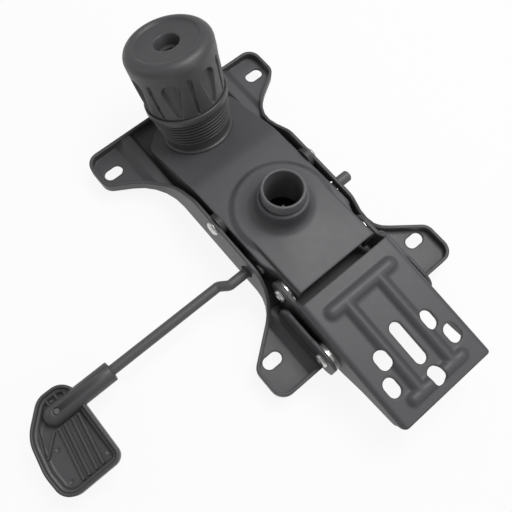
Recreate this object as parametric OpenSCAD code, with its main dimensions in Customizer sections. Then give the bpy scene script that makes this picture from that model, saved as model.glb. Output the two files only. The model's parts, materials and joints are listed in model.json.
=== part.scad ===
// Tilt mechanism of an office chair, lying on the face that meets the seat board.
// The seat board is below z = 0, the chair's floor is towards +Z, the front is towards -Y.
// Side profiles are drawn in the plane of Y and Z, and all sizes are in millimetres.

/* [Seat plate] */
// Distance between the seat screws across the chair
screw_pitch_x = 150; // [130:1:170]
// Distance between the seat screws from front to rear
screw_pitch_y = 200; // [185:1:215]
// Width of a screw slot
screw_slot_w = 10; // [8:0.5:11]
// Length of a screw slot
screw_slot_len = 16; // [12:0.5:18]
// Thickness of the pressed sheet
plate_t = 2.5; // [2:0.25:3]
// Height of the rim round the corner lugs
rim_h = 9; // [7:0.5:12]
// Distance from the screws to the side of a lug
lug_side = 13.5; // [12:0.5:18]
// Distance from the front screws to the front edge
lug_front = 20; // [16:0.5:24]
// Distance from the rear screws to the rear edge
lug_rear = 28; // [22:0.5:32]
// Gap between a side wall of the housing and the flange beside it
flange_gap = 4.5; // [4:0.25:6]
// Height of the side flanges beside the housing
flange_h = 36.5; // [35:0.5:40]
// Height of the pressed ridge between a lug and the channel
ridge_h = 5; // [3:0.5:6]
// Gap between a side wall of the bracket and the rear ear beside it
ear_gap = 4.3; // [3.8:0.1:6]
// Radius of a rear ear round its rivet
ear_r = 12.5; // [11:0.5:14]

/* [Pivots] */
// Front to rear place of the pivot between flanges and housing
guide_y = -1; // [-6:0.5:4]
// Height of the pivot between flanges and housing
guide_z = 30; // [28:0.5:31]
// Front to rear place of the pivot between housing and bracket
bracket_pivot_y = 70; // [67:0.5:72]
// Height of the pivot between housing and bracket
bracket_pivot_z = 26; // [25:0.5:28]
// Front to rear place of the pivot between bracket and rear ears
ear_pivot_y = 124; // [120:0.5:128]
// Height of the pivot between bracket and rear ears
ear_pivot_z = 18; // [17:0.5:20]
// Shank diameter of every rivet
rivet_d = 8; // [7:0.5:9]
// Head diameter of every rivet
rivet_head_d = 11.6; // [11:0.2:13]
// Height of a rivet head
rivet_head_h = 2.4; // [2:0.2:2.6]
// Diameter of the thinner tail of the guide rivets
guide_tail_d = 5.5; // [5:0.5:6]
// Diameter of the washers at the flanges
guide_washer_d = 18; // [14:0.5:20]
// Diameter of the spacers at the front end of the bracket
bracket_spacer_d = 21; // [16:0.5:21]
// Diameter of the spacers at the rear ears
ear_spacer_d = 25; // [20:0.5:25]

/* [Housing] */
// Pitch of the housing and the gas lift against the seat plate, in degrees
housing_pitch = 4.5; // [3:0.5:6]
// Width over the side walls at the middle
housing_w = 83; // [80:0.5:84]
// How far each side wall steps in beside the bracket
housing_waist = 4.5; // [3.5:0.25:6]
// Thickness of the pressed sheet
housing_t = 3; // [2.5:0.25:3.5]
// Height of the deck over the seat board, square to the deck
deck_h = 37.5; // [36:0.5:39]
// Height of the raised round step over the deck
step_h = 3; // [2:0.5:4]
// Radius of the raised round step
step_r = 36; // [33:0.5:37]
// Place of the rear edge of the deck
housing_rear_y = 80.6; // [79:0.2:82]
// Place of the two front corners
housing_corner_y = -93; // [-96:0.5:-90]
// Place of the rounded nose
housing_nose_y = -110; // [-112:0.5:-109.5]

/* [Gas lift socket] */
// Front to rear place where the gas lift axis meets the seat board
lift_y = 24.2; // [20:0.2:28]
// Bore of the socket
lift_bore_d = 28; // [27:0.1:28.6]
// Outer diameter of the socket
collar_d = 32.8; // [31.5:0.1:34]
// Height of the mouth over the seat board, along the axis
mouth_h = 67.5; // [65:0.5:70]
// Height of the inner end of the socket, along the axis
collar_foot_h = 27; // [26.5:0.5:32]
// Outer diameter of the drawn neck round the socket
neck_d = 38.6; // [37:0.2:40]
// How far the socket stands out of the neck
collar_proud = 9.8; // [8:0.2:12]

/* [Tension knob] */
// Lean of the knob axis towards the front, in degrees, which is also the slope of the nose
knob_lean = 20; // [19:0.5:21]
// Front to rear place where the knob axis leaves the housing
knob_y = -82; // [-84:0.5:-81]
// Height where the knob axis leaves the housing
knob_z = 16; // [15.8:0.1:17]
// Distance from the housing to the face of the knob
knob_reach = 88; // [84:0.5:92]
// Length of the knob from face to skirt
knob_len = 46.5; // [44:0.5:49]
// Largest diameter of the knob
knob_d = 68; // [66:0.5:70]
// Diameter of the knob at its skirt
knob_skirt_d = 62; // [60:0.5:64]
// Number of wide recesses round the knob
knob_recesses = 7; // [5:1:9]
// Diameter of the tension bolt
bolt_d = 10; // [8:0.5:10]
// Outer diameter of the tension spring
spring_d = 46; // [42:0.5:48]
// Wire diameter of the tension spring
spring_wire = 6; // [4:0.5:6.5]
// Number of curls of the tension spring
spring_curls = 5; // [4:0.5:6]
// Gap between the seat of the spring and the boot round it
boot_gap = 1.8; // [1:0.1:4]
// Number of ribs on the boot
boot_ribs = 6; // [4:1:8]

/* [Backrest bracket] */
// Slope of the bracket against the seat board, in degrees
bracket_slope = 5.5; // [4:0.5:7]
// Gap between a side wall of the housing and the bracket's arm beside it
arm_gap = 2.7; // [2.2:0.1:3.5]
// Thickness of the pressed sheet
bracket_t = 3; // [2.5:0.25:3.5]
// Place of the front edge
bracket_front_y = 88.5; // [87:0.5:90]
// Height of the front edge
bracket_front_z = 46.1; // [45:0.1:48]
// Length along the sheet
bracket_len = 106.5; // [100:0.5:112]
// Width of the screw slots
bracket_slot_w = 10.5; // [8:0.5:11]
// Height of the pressed ribs
bracket_rib_h = 2.4; // [1.5:0.1:3]

/* [Height lever] */
// Front to rear place of the rod in the housing
rod_y = 39; // [38:0.5:41]
// Height of the rod in the housing
rod_z = 20; // [19:0.5:21]
// Diameter of the rod
rod_d = 8; // [7:0.5:8.5]
// Front to rear place of the rod outside the crank
handle_y = 33; // [31:0.5:35]
// Height of the rod outside the crank
handle_z = 15; // [14.5:0.5:17]
// Place of the crank
crank_x = 67; // [62:0.5:74]
// Place of the far end of the rod
rod_end_x = 220; // [210:1:224]
// Outer diameter of the socket on the paddle
socket_d = 14.6; // [13:0.2:16]
// Thickness of the paddle's moulded shell
paddle_t = 2.5; // [2:0.25:3]
// Height of the paddle's rim over its underside
paddle_rim_h = 8.5; // [6:0.5:10]
// Height of the paddle's underside
paddle_z = 9.5; // [9:0.5:11]

/* [Tilt lock pin] */
// Front to rear place of the pin
lock_y = 30; // [29:0.5:31]
// Height of the pin
lock_z = 27; // [26.5:0.5:28]
// Diameter of the pin
lock_d = 9; // [8:0.25:9.5]
// How far the pin stands out of the flange
lock_proud = 13; // [10:0.5:15]

/* [Fits] */
// Radial clearance of what turns or slides
run_gap = 0.05; // [0.02:0.01:0.1]
// Gap between flat faces that pass each other
face_gap = 0.15; // [0.1:0.05:0.25]
// Radial clearance of the bracket round the ear rivets
link_gap = 1; // [0.8:0.1:1.2]

/* [Hidden] */
$fn = 48;

coat = "#3a3a3c";
plastic = "#2f2f31";
zinc = "#c9c9cc";

guide = [guide_y, guide_z];
bracket_pivot = [bracket_pivot_y, bracket_pivot_z];
ear_pivot = [ear_pivot_y, ear_pivot_z];
rod_axis = [rod_y, rod_z];
handle_axis = [handle_y, handle_z];
lock_axis = [lock_y, lock_z];
pin_hole_r = rivet_d / 2 + run_gap;

// Half widths, from the middle of the mechanism outwards
wall_out = housing_w / 2;
wall_in = wall_out - housing_t;
rear_out = wall_out - housing_waist;
rear_in = rear_out - housing_t;
arm_in = rear_out + arm_gap;
arm_out = arm_in + bracket_t;
ear_in = arm_out + ear_gap;
ear_out = ear_in + plate_t;
flange_in = wall_out + flange_gap;
flange_out = flange_in + plate_t;

plate_front = -screw_pitch_y / 2 - lug_front;
plate_rear = screw_pitch_y / 2 + lug_rear;
lug_out = screw_pitch_x / 2 + lug_side;
channel_half = flange_in - 3;
// The middle of the floor stops here, short of the rear edge of the lugs
floor_rear = ear_pivot_y - 8;

// Recline turns the housing by this much about the guide rivets
recline = 7.8;
// Everything under the housing clears the floor by this much when reclined
floor_gap = 1;

// Points of an arc from start to end about a centre, the short way round
function arc(c, start, end, n) =
    let (
        a = atan2(start[1] - c[1], start[0] - c[0]),
        b = atan2(end[1] - c[1], end[0] - c[0]),
        turn = (b - a + 540) % 360 - 180,
        r = norm(start - c)
    )
    [for (i = [0:n]) c + r * [cos(a + turn * i / n), sin(a + turn * i / n)]];

function unit(v) = v / norm(v);

// One corner of an outline, rounded to its own radius
function corner(p, q, s, r) =
    let (
        u = unit(p - q),
        v = unit(s - q),
        half = acos(min(1, max(-1, u * v))) / 2,
        c = q + unit(u + v) * r / sin(half),
        n = max(3, ceil((90 - half) / 7))
    )
    arc(c, q + u * r / tan(half), q + v * r / tan(half), n);

// An outline given as [x, y] or [x, y, radius] corners
function rounded(pts) =
    let (n = len(pts), xy = [for (p = pts) [p[0], p[1]]])
    [for (i = [0:n - 1])
        each len(pts[i]) == 2 ? [xy[i]]
            : corner(xy[(i + n - 1) % n], xy[i], xy[(i + 1) % n], pts[i][2])];

// The same outline moved inwards; its points run anticlockwise
function inset(pts, d) =
    let (n = len(pts))
    [for (i = [0:n - 1])
        let (
            a = unit(pts[i] - pts[(i + n - 1) % n]),
            b = unit(pts[(i + 1) % n] - pts[i]),
            na = [-a[1], a[0]],
            nb = [-b[1], b[0]]
        )
        pts[i] + (na + nb) * d / (1 + na * nb)];

// A half outline with x over 0, from front to rear, completed by its mirror image
function both_sides(half) = concat(half, [
    for (i = [len(half) - 1:-1:0]) [-half[i][0], each [for (k = [1:len(half[i]) - 1]) half[i][k]]]
]);

// Where a point of the housing's own plane lies, its deck being level there
function pitched(p) = [
    lift_y + p[0] * cos(housing_pitch) - p[1] * sin(housing_pitch),
    p[0] * sin(housing_pitch) + p[1] * cos(housing_pitch)
];

// A point of the seat frame after the housing has reclined
function reclined(p) =
    let (d = p - guide)
    guide + [d[0] * cos(recline) + d[1] * sin(recline), d[1] * cos(recline) - d[0] * sin(recline)];

// Draws a side profile and gives it a span along X
module side_profile(x0, x1) {
    translate([x0, 0, 0]) rotate([90, 0, 90]) linear_extrude(x1 - x0) children();
}

// A bar or bore along X at a point of the side view
module bar(x0, x1, at, r) {
    translate([x0, at[0], at[1]]) rotate([0, 90, 0]) cylinder(h = x1 - x0, r = r);
}

module mirrored() {
    children();
    mirror([1, 0, 0]) children();
}

// A slot standing on the XY plane, its length along X
module slot(length, width, depth) {
    run = length - width;
    for (s = [-1, 1]) translate([s * run / 2, 0, 0]) cylinder(h = depth, d = width);
    if (run > 0) translate([-run / 2, -width / 2, 0]) cube([run, width, depth]);
}

// A dished rivet head on the outside of a wall, towards +X
module rivet_head(x, at, d, h) {
    dish = 0.55;
    translate([x, at[0], at[1]]) rotate([0, 90, 0]) rotate_extrude() polygon([
        [0, 0], [d / 2, 0], [d / 2, h * 0.35], [d / 2 - 0.4, h * 0.7], [d / 2 - 1.4, h],
        [d * 0.22, h], [d * 0.14, h - dish], [0, h - dish]
    ]);
}

// A rivet from its tail inside x_tail to its head outside x_head
module rivet(x_tail, x_head, at, tail_d) {
    tail_h = 2;
    bar(x_tail - tail_h / 2, x_head + rivet_head_h / 2, at, rivet_d / 2);
    rivet_head(x_head, at, rivet_head_d, rivet_head_h);
    bar(x_tail - tail_h, x_tail, at, tail_d / 2);
}

module ring(x0, x1, at, outer_r, inner_r) {
    difference() {
        bar(x0, x1, at, outer_r);
        bar(x0 - 1, x1 + 1, at, inner_r);
    }
}

// Seat plate: one pressed sheet with lugs, ridges, side flanges and rear ears

lug_corners = [
    [lug_out, plate_front, 11],
    [lug_out, -screw_pitch_y / 2 + 10, 10],
    [flange_out, -screw_pitch_y / 2 + 34, 45],
    [flange_out, screw_pitch_y / 2 - 34, 30],
    [lug_out + 1.5, screw_pitch_y / 2 - 2, 10],
    [lug_out + 1.5, plate_rear, 11]
];
plate_outline = rounded(both_sides(lug_corners));

// Top edge of the rim: low round the lugs, high beside the housing
rim_profile = rounded([
    [plate_front - 1, -1],
    [plate_rear + 1, -1],
    [plate_rear + 1, rim_h],
    [guide_y + 76, rim_h, 14],
    [guide_y + 49, flange_h, 14],
    [guide_y - 24, flange_h, 14],
    [guide_y - 64, rim_h + 1, 20],
    [guide_y - 88, rim_h, 20],
    [plate_front - 1, rim_h]
]);

ear_profile = rounded([
    [ear_pivot_y - 2, 0],
    [ear_pivot_y + ear_r, 2, 9],
    [ear_pivot_y + ear_r, ear_pivot_z + ear_r + 0.5, ear_r - 1],
    [ear_pivot_y - 13, ear_pivot_z + ear_r + 2, 16],
    [ear_pivot_y - 37, ear_pivot_z + 3, 30],
    [ear_pivot_y - 56, 0]
]);

// Cross section of a ridge, from the channel out to the lug
ridge_ramp = 7;
ridge_top = 8;
ridge_foot_in = channel_half - 0.5;
ridge_section = [
    [ridge_foot_in, 0], [ridge_foot_in + 3, ridge_h], [ridge_foot_in + 3 + ridge_top, ridge_h],
    [ridge_foot_in + 3 + ridge_top + ridge_ramp, 0]
];
ridge_ends = [[plate_front + 1, -screw_pitch_y / 2 + 52], [screw_pitch_y / 2 - 30, plate_rear - 1]];

module ridge(y0, y1) {
    under = ridge_section;
    over = [for (i = [3:-1:0]) under[i] + [0, plate_t]];
    translate([0, y1, 0]) rotate([90, 0, 0]) linear_extrude(y1 - y0) polygon(concat(under, over));
    // The ridge is closed at the end that meets the waist
    end_y = abs(y0) < abs(y1) ? y0 : y1 - plate_t;
    translate([0, end_y + plate_t, 0]) rotate([90, 0, 0]) linear_extrude(plate_t) polygon(under);
}

module seat_floor() {
    difference() {
        linear_extrude(plate_t) polygon(plate_outline);
        for (e = ridge_ends) mirrored()
            translate([ridge_foot_in, e[0], -1])
                cube([3 + ridge_top + ridge_ramp, e[1] - e[0], plate_t + 2]);
    }
    intersection() {
        linear_extrude(flange_h) polygon(plate_outline);
        for (e = ridge_ends) mirrored() ridge(e[0], e[1]);
    }
}

module seat_rim() {
    intersection() {
        linear_extrude(flange_h) difference() {
            polygon(plate_outline);
            polygon(inset(plate_outline, plate_t));
        }
        side_profile(-lug_out - 5, lug_out + 5) polygon(rim_profile);
    }
}

module seat_plate() color(coat) difference() {
    union() {
        seat_floor();
        seat_rim();
        mirrored() side_profile(ear_in, ear_out) polygon(ear_profile);
    }
    for (x = [-1, 1], y = [-1, 1])
        translate([x * screw_pitch_x / 2, y * screw_pitch_y / 2, -1])
            slot(screw_slot_len, screw_slot_w, plate_t + 2);
    // Between the ears the floor ends early
    translate([-ear_in, floor_rear, -1]) cube([2 * ear_in, plate_rear, rim_h + 2]);
    bar(-ear_out - 1, ear_out + 1, guide, pin_hole_r);
    bar(-ear_out - 1, ear_out + 1, ear_pivot, pin_hole_r);
    rod_window();
    lock_windows();
}

// The rod leaves through a slot that lets it sink when the housing reclines
module rod_window() {
    clear = 1.5;
    low = reclined(rod_axis);
    for (p = [rod_axis, low]) bar(flange_in - 1, flange_out + 1, p, rod_d / 2 + clear);
    w = rod_d / 2 + clear;
    side_profile(flange_in - 1, flange_out + 1)
        polygon([rod_axis + [w, 0], rod_axis - [w, 0], low - [w, 0], low + [w, 0]]);
}

// Two round windows that run into each other: the pin locks in either of them
module lock_windows() {
    clear = 0.4;
    for (p = [lock_axis, reclined(lock_axis)])
        bar(-flange_out - 1, -flange_in + 1, p, lock_d / 2 + clear);
}

// Housing: a pressed box, open towards the seat board and at the rear

knob_foot = [knob_y, knob_z];
deck_rear = pitched([(housing_rear_y - lift_y) / cos(housing_pitch) + 3, deck_h]);
// The sloping nose meets the deck where both planes cross
nose_slope = tan(knob_lean);
deck_slope = tan(housing_pitch);
deck_origin = pitched([0, deck_h]);
function deck_line(y) = deck_origin[1] + (y - deck_origin[0]) * deck_slope;
function nose_line(y) = knob_z + (y - knob_y) * nose_slope;
crease_y = (deck_origin[1] - deck_origin[0] * deck_slope - knob_z + knob_y * nose_slope)
    / (nose_slope - deck_slope);
wall_foot_z = plate_t + floor_gap;
wall_foot_slope = tan(recline);

// Side view of the housing; drop lowers the top for the inside
function housing_side(drop, nose, low) = rounded([
    [nose, low],
    [guide_y - 4, low],
    [housing_rear_y + 1, low + (housing_rear_y + 5 - guide_y) * wall_foot_slope],
    [housing_rear_y + 1, deck_line(housing_rear_y + 1) - drop / cos(housing_pitch)],
    [crease_y, deck_line(crease_y) - drop, 40],
    [nose, nose_line(nose) - drop / cos(knob_lean)]
]);

function housing_plan(d) = rounded(both_sides([
    [24 - d / 2, housing_nose_y + d, 20],
    [wall_out - d, housing_corner_y + d / 2, 12 - d],
    [wall_out - d, bracket_pivot_y - 24, 12],
    [rear_out - d, bracket_pivot_y - 12, 12],
    [rear_out - d, housing_rear_y + (d > 0 ? 2 : 0)]
]));

module housing_step(drop) {
    r = step_r - drop;
    flare = 4;
    sunk = 0.4;
    translate([0, 0, deck_h - drop - sunk])
        cylinder(h = step_h + sunk, r1 = r + flare * (1 + sunk / step_h), r2 = r);
    // Behind the bore the step runs out to the rear edge
    width = rear_out - 1.5 - drop;
    translate([-width, 0, deck_h - drop - sunk]) cube([2 * width, deck_rear[0], step_h + sunk]);
}

module in_housing() {
    translate([0, lift_y, 0]) rotate([housing_pitch, 0, 0]) children();
}

module housing_block(d) {
    intersection() {
        translate([0, 0, -1]) linear_extrude(2 * deck_h) polygon(housing_plan(d));
        union() {
            side_profile(-housing_w, housing_w)
                polygon(housing_side(d, housing_nose_y - 5, d > 0 ? -1 : wall_foot_z));
            in_housing() housing_step(d);
        }
    }
}

module housing_neck() {
    r = neck_d / 2;
    top = mouth_h - collar_proud;
    foot = deck_h + step_h;
    in_housing() rotate_extrude() polygon([
        [collar_d / 2 + run_gap, foot - housing_t - 4], [r, foot - housing_t - 4], [r + 7, foot - 1],
        [r + 7, foot], [r + 4.4, foot + 0.7], [r + 2, foot + 2.6], [r + 0.6, foot + 5.4], [r, foot + 9],
        [r, top - 1], [r - 0.8, top], [collar_d / 2 + run_gap, top]
    ]);
}

module housing() color(coat) difference() {
    union() {
        difference() {
            housing_block(0);
            housing_block(housing_t);
            in_housing() translate([0, 0, deck_h - 10]) cylinder(h = 40, r = neck_d / 2 + 2);
        }
        housing_neck();
    }
    mirrored() guide_tail(run_gap);
    bar(-housing_w, housing_w, bracket_pivot, pin_hole_r);
    bar(-housing_w, housing_w, cross_axis, cross_d / 2 + run_gap);
    bar(-housing_w, housing_w, rod_axis, bush_r + run_gap);
    bar(-housing_w, 0, lock_axis, lock_d / 2 + run_gap);
    on_knob_axis() translate([0, 0, -10]) cylinder(h = 20, r = bolt_d / 2 + bolt_room);
}

foot_chamfer = 0.4;
module gas_lift_collar() color(coat) in_housing() rotate_extrude() polygon([
    [lift_bore_d / 2, collar_foot_h + foot_chamfer], [lift_bore_d / 2 + foot_chamfer, collar_foot_h],
    [collar_d / 2, collar_foot_h],
    [collar_d / 2, mouth_h - 1.2], [collar_d / 2 - 0.4, mouth_h - 0.3], [collar_d / 2 - 1.1, mouth_h],
    [lift_bore_d / 2 + 0.8, mouth_h], [lift_bore_d / 2 + 0.2, mouth_h - 0.4], [lift_bore_d / 2, mouth_h - 1]
]);

// Rivets, washers and spacers

// The deck is close above the guide rivets: a thinner tail is staked flush inside the wall
module guide_rivets() color(zinc) mirrored() {
    bar(wall_out, flange_out + rivet_head_h / 2, guide, rivet_d / 2);
    rivet_head(flange_out, guide, rivet_head_d, rivet_head_h);
    guide_tail(0);
}

module guide_tail(gap) {
    stake = 1.2;
    r = guide_tail_d / 2 + gap;
    bar(wall_in - gap, wall_out + 0.5, guide, r);
    translate([wall_in - gap, guide_y, guide_z]) rotate([0, 90, 0])
        cylinder(h = stake + 2 * gap, r1 = r + stake + 2 * gap, r2 = r);
}

module guide_washers() color(zinc) mirrored()
    ring(wall_out + face_gap, flange_in - face_gap, guide, guide_washer_d / 2, pin_hole_r);

module bracket_rivets() color(zinc) mirrored()
    rivet(rear_in - face_gap, arm_out + face_gap, bracket_pivot, rivet_head_d);

module bracket_spacers() color(zinc) mirrored()
    ring(rear_out + face_gap, arm_in - face_gap, bracket_pivot, bracket_spacer_d / 2, pin_hole_r);

module ear_rivets() color(zinc) mirrored()
    rivet(arm_in - face_gap, ear_out, ear_pivot, rivet_head_d + 3);

module ear_spacers() color(zinc) mirrored()
    ring(arm_out + face_gap, ear_in - face_gap, ear_pivot, ear_spacer_d / 2, pin_hole_r);

// A pin across the housing, upset outside both walls
cross_axis = [rod_y + 7, rod_z + 10];
cross_d = 6;
module cross_pin() color(zinc) {
    end = wall_out + face_gap;
    bar(-end, end, cross_axis, cross_d / 2);
    mirrored() bar(end - 0.01, end + 2, cross_axis, cross_d / 2 + 1.2);
}

// Backrest bracket: a pressed plate with side walls and two arms to the housing

module in_bracket() {
    translate([0, bracket_front_y, bracket_front_z]) rotate([-bracket_slope, 0, 0]) children();
}

// Sheet and walls are drawn larger by this much and trimmed to one outline
trim = 2;
bracket_rear = [bracket_front_y + (bracket_len + trim) * cos(bracket_slope),
    bracket_front_z - (bracket_len + trim) * sin(bracket_slope)];
arm_r = 10.8;
bracket_side = rounded([
    [bracket_pivot_y - arm_r, bracket_pivot_z - arm_r, arm_r - 0.2],
    [ear_pivot_y - 10, ear_pivot_z - 10.5, 20],
    [ear_pivot_y + 14, ear_pivot_z - 9.5, 20],
    [bracket_rear[0], bracket_rear[1] - 13, 5],
    bracket_rear - [0, bracket_t / 2],
    [bracket_front_y, bracket_front_z - bracket_t / 2],
    [bracket_front_y - 6, bracket_front_z - 8, 6],
    [bracket_pivot_y - arm_r, bracket_pivot_z + arm_r, arm_r - 0.2]
]);

// A pressed rib with sloping sides and round ends, centred, its length along X
module rib(length, width, height) {
    flat = width * 0.45;
    swell = 0.2;
    run = (length - width) / 2;
    for (s = [-1, 1]) translate([s * run, 0, -0.01])
        cylinder(h = height, d1 = width + swell, d2 = flat + swell);
    translate([-run, 0, -0.01]) rotate([90, 0, 90]) linear_extrude(2 * run)
        polygon([[-width / 2, 0], [width / 2, 0], [flat / 2, height], [-flat / 2, height]]);
}

// Screw slots in pairs as [half distance, place along the sheet], and the two on the middle line
bracket_pairs = [[22.3, bracket_len - 43], [29.7, bracket_len - 25.3]];
bracket_middle_slots = [[35, 10, bracket_len - 40.5], [14.5, 11, bracket_len - 11.5]];
rib_front = 15.5;
rib_rear = bracket_len - 10.5;
rib_side = 15.5;

module bracket_ribs(height, spread) {
    translate([0, rib_front, 0]) rib(66 + spread, 13 + spread, height);
    translate([0, rib_rear, 0]) rib(54 + spread, 11 + spread, height);
    mirrored() translate([rib_side, (rib_front + rib_rear) / 2, 0]) rotate([0, 0, 90])
        rib(rib_rear - rib_front + 10, 12 + spread, height);
}

module bracket_blank() {
    mirrored() side_profile(arm_in, arm_out + trim) polygon(bracket_side);
    in_bracket() {
        translate([-arm_out - trim, 0, -bracket_t])
            cube([2 * (arm_out + trim), bracket_len + trim, bracket_t]);
        bracket_ribs(bracket_rib_h, 0);
    }
}

module backrest_bracket() color(coat) difference() {
    intersection() {
        bracket_blank();
        in_bracket() translate([0, 0, -2 * bracket_len]) linear_extrude(4 * bracket_len) polygon(rounded([
            [-arm_out, -bracket_len], [arm_out, -bracket_len],
            [arm_out, bracket_len, 8], [-arm_out, bracket_len, 8]
        ]));
    }
    in_bracket() {
        // The ribs are hollow below, as pressed sheet is
        translate([0, 0, -bracket_t - 0.01]) bracket_ribs(bracket_rib_h, -1);
        for (p = bracket_pairs, s = [-1, 1])
            translate([s * p[0], p[1], -10]) rotate([0, 0, 90]) slot(15, bracket_slot_w, 20);
        for (m = bracket_middle_slots)
            translate([0, m[2], -10]) rotate([0, 0, 90]) slot(m[0], m[1], 20);
    }
    bar(-2 * arm_out, 2 * arm_out, bracket_pivot, pin_hole_r);
    bar(-2 * arm_out, 2 * arm_out, ear_pivot, rivet_d / 2 + link_gap);
}

// Height lever

bush_r = 5.5;
bush_flange = 1.3;
clip_t = 1.2;
rod_clip_x = wall_out + bush_flange + 2 * face_gap;
rod_inner_x = -rod_clip_x - clip_t - 0.8;
// The crank slopes from one straight run to the other over this much on each side of its middle
crank_run = 5;

module lever_rod() color(coat) {
    from = [crank_x - crank_run, rod_y, rod_z];
    to = [crank_x + crank_run, handle_y, handle_z];
    step = to - from;
    bar(rod_inner_x, from[0], rod_axis, rod_d / 2);
    bar(to[0], rod_end_x, handle_axis, rod_d / 2);
    // The bar swells a little at each bend
    for (end = [from, to]) translate(end) sphere(d = rod_d + 0.3);
    translate(from) rotate([0, acos(step[2] / norm(step)), atan2(step[1], step[0])])
        cylinder(h = norm(step), d = rod_d);
}

module lever_bushes() color(plastic) mirrored() difference() {
    union() {
        bar(wall_in, wall_out + face_gap + bush_flange, rod_axis, bush_r);
        bar(wall_out + face_gap, wall_out + face_gap + bush_flange, rod_axis, bush_r + 1.1);
    }
    bar(wall_in - 1, wall_out + 5, rod_axis, rod_d / 2 + run_gap);
}

// One clip inside the wall towards the paddle, one outside the other wall
rod_clip_d = rod_d + 5;
module rod_clips() color(zinc) {
    ring(wall_in - face_gap - clip_t, wall_in - face_gap, rod_axis, rod_clip_d / 2, rod_d / 2);
    ring(-rod_clip_x - clip_t, -rod_clip_x, rod_axis, rod_clip_d / 2, rod_d / 2);
}

// The finger is welded to the rod and lies under the button of the gas lift
module valve_finger() color(zinc) {
    tip_y = lift_y - collar_foot_h * tan(housing_pitch) - 7;
    width = 16;
    thick = 3;
    difference() {
        union() {
            ring(-width / 2, width / 2, rod_axis, rod_d / 2 + thick, rod_d / 2);
            translate([-width / 2, tip_y, rod_z - thick / 2]) cube([width, rod_y - rod_d / 2 - tip_y, thick]);
        }
        bar(-width, width, rod_axis, rod_d / 2);
    }
}

paddle_outline = rounded([
    [196, 16, 12], [214, 8, 16], [240, 28, 40], [247, 62, 24], [244, 90, 12], [206, 88, 10], [193, 74, 10]
]);
// The socket ends this far past the rod, and starts this far before it ends
socket_start = 170;
socket_end = 225;

module paddle() color(plastic) difference() {
    union() {
        translate([0, 0, paddle_z]) linear_extrude(paddle_t) polygon(paddle_outline);
        translate([0, 0, paddle_z]) linear_extrude(paddle_rim_h) difference() {
            polygon(paddle_outline);
            polygon(inset(paddle_outline, paddle_t));
        }
        for (x = [203, 211, 219]) translate([x + 4, 61, paddle_z + paddle_t]) rotate([0, 0, 102])
            translate([0, 0, -0.01]) rib(38, 3, 2.4);
        bar(socket_start, socket_end - 3, handle_axis, socket_d / 2);
        translate([socket_end - socket_d / 2, handle_y, handle_z]) sphere(d = socket_d);
        translate([196, handle_y - 2, paddle_z + 1]) cube([26, 4, handle_z - paddle_z - 1]);
    }
    bar(socket_start - 1, rod_end_x + run_gap, handle_axis, rod_d / 2 + run_gap);
    translate([screw_x, handle_y, handle_z]) cylinder(h = socket_d, d = screw_d + 2 * run_gap);
}

screw_x = 214;
screw_d = 4;
module paddle_screw() color(zinc) translate([screw_x, handle_y, handle_z + rod_d / 2 + run_gap])
    cylinder(h = socket_d / 2 - rod_d / 2 - 0.8, d = screw_d);

// Tilt lock pin: a thin neck lets the flange pass, either thick part locks it

lock_travel = 6;
module lock_pin() color(coat) {
    neck_x = flange_in - 2.5;
    bar(-neck_x, -wall_in + 12, lock_axis, lock_d / 2);
    bar(-flange_out - 2, -neck_x + 0.01, lock_axis, lock_d / 2 - 1.4);
    bar(-flange_out - lock_proud + 1, -flange_out - 1.99, lock_axis, lock_d / 2);
    translate([-flange_out - lock_proud, lock_y, lock_z]) rotate([0, 90, 0])
        cylinder(h = 1.01, r1 = lock_d / 2 - 0.9, r2 = lock_d / 2);
}

// The clip stops the pin when it is pulled out by its full travel
module lock_clip() color(zinc)
    ring(-wall_in + lock_travel + face_gap, -wall_in + lock_travel + face_gap + clip_t, lock_axis,
        7, lock_d / 2);

// Tension knob, spring and boot, all on one leaning axis

module on_knob_axis() {
    translate([0, knob_y, knob_z]) rotate([knob_lean, 0, 0]) children();
}

bolt_room = 4.5;
anchor_r = 2.2;
anchor_z = plate_t + anchor_r + 0.5;
anchor_axis = [knob_y + (knob_z - anchor_z) * tan(knob_lean), anchor_z];
anchor_len = 28;
bolt_foot = (anchor_z - knob_z) / cos(knob_lean);
skirt = knob_reach - knob_len;
bolt_top = knob_reach - 13;

module tension_bolt() color(zinc) {
    on_knob_axis() translate([0, 0, bolt_foot]) cylinder(h = bolt_top - bolt_foot - 1, d = bolt_d);
    on_knob_axis() translate([0, 0, bolt_top - 1.01]) cylinder(h = 1.01, d1 = bolt_d, d2 = bolt_d - 2);
    bar(-anchor_len / 2, anchor_len / 2, anchor_axis, anchor_r);
}

// A strap welded to the floor holds the head of the bolt
module bolt_anchor() color(coat) {
    strap_t = 2.5;
    strap_w = 16;
    gap = 0.3;
    top = anchor_z + anchor_r + gap;
    half = anchor_len / 2 + gap;
    difference() {
        union() {
            translate([-half - strap_t, anchor_axis[0] - strap_w / 2, top])
                cube([2 * (half + strap_t), strap_w, strap_t]);
            mirrored() translate([half, anchor_axis[0] - strap_w / 2, plate_t])
                cube([strap_t, strap_w, top - plate_t + 0.01]);
            mirrored() translate([half, anchor_axis[0] - strap_w / 2, plate_t]) cube([10, strap_w, strap_t]);
        }
        on_knob_axis() translate([0, 0, bolt_foot]) cylinder(h = 30, d = bolt_d + 2);
    }
}

cup_top = skirt + 7;
spring_foot = 1.8;
spring_len = cup_top - 2.5 - spring_foot;

// A flat ring on the nose with a short collar that centres the spring
module spring_seat() color(zinc) on_knob_axis() rotate_extrude() polygon([
    [bolt_d / 2 + bolt_room + 0.5, 0.1], [spring_d / 2 + 1, 0.1], [spring_d / 2 + 1, spring_foot],
    [spring_d / 2 - spring_wire - 0.6, spring_foot], [spring_d / 2 - spring_wire - 1.4, spring_foot + 4],
    [bolt_d / 2 + bolt_room + 0.5, spring_foot + 4]
]);

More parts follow.
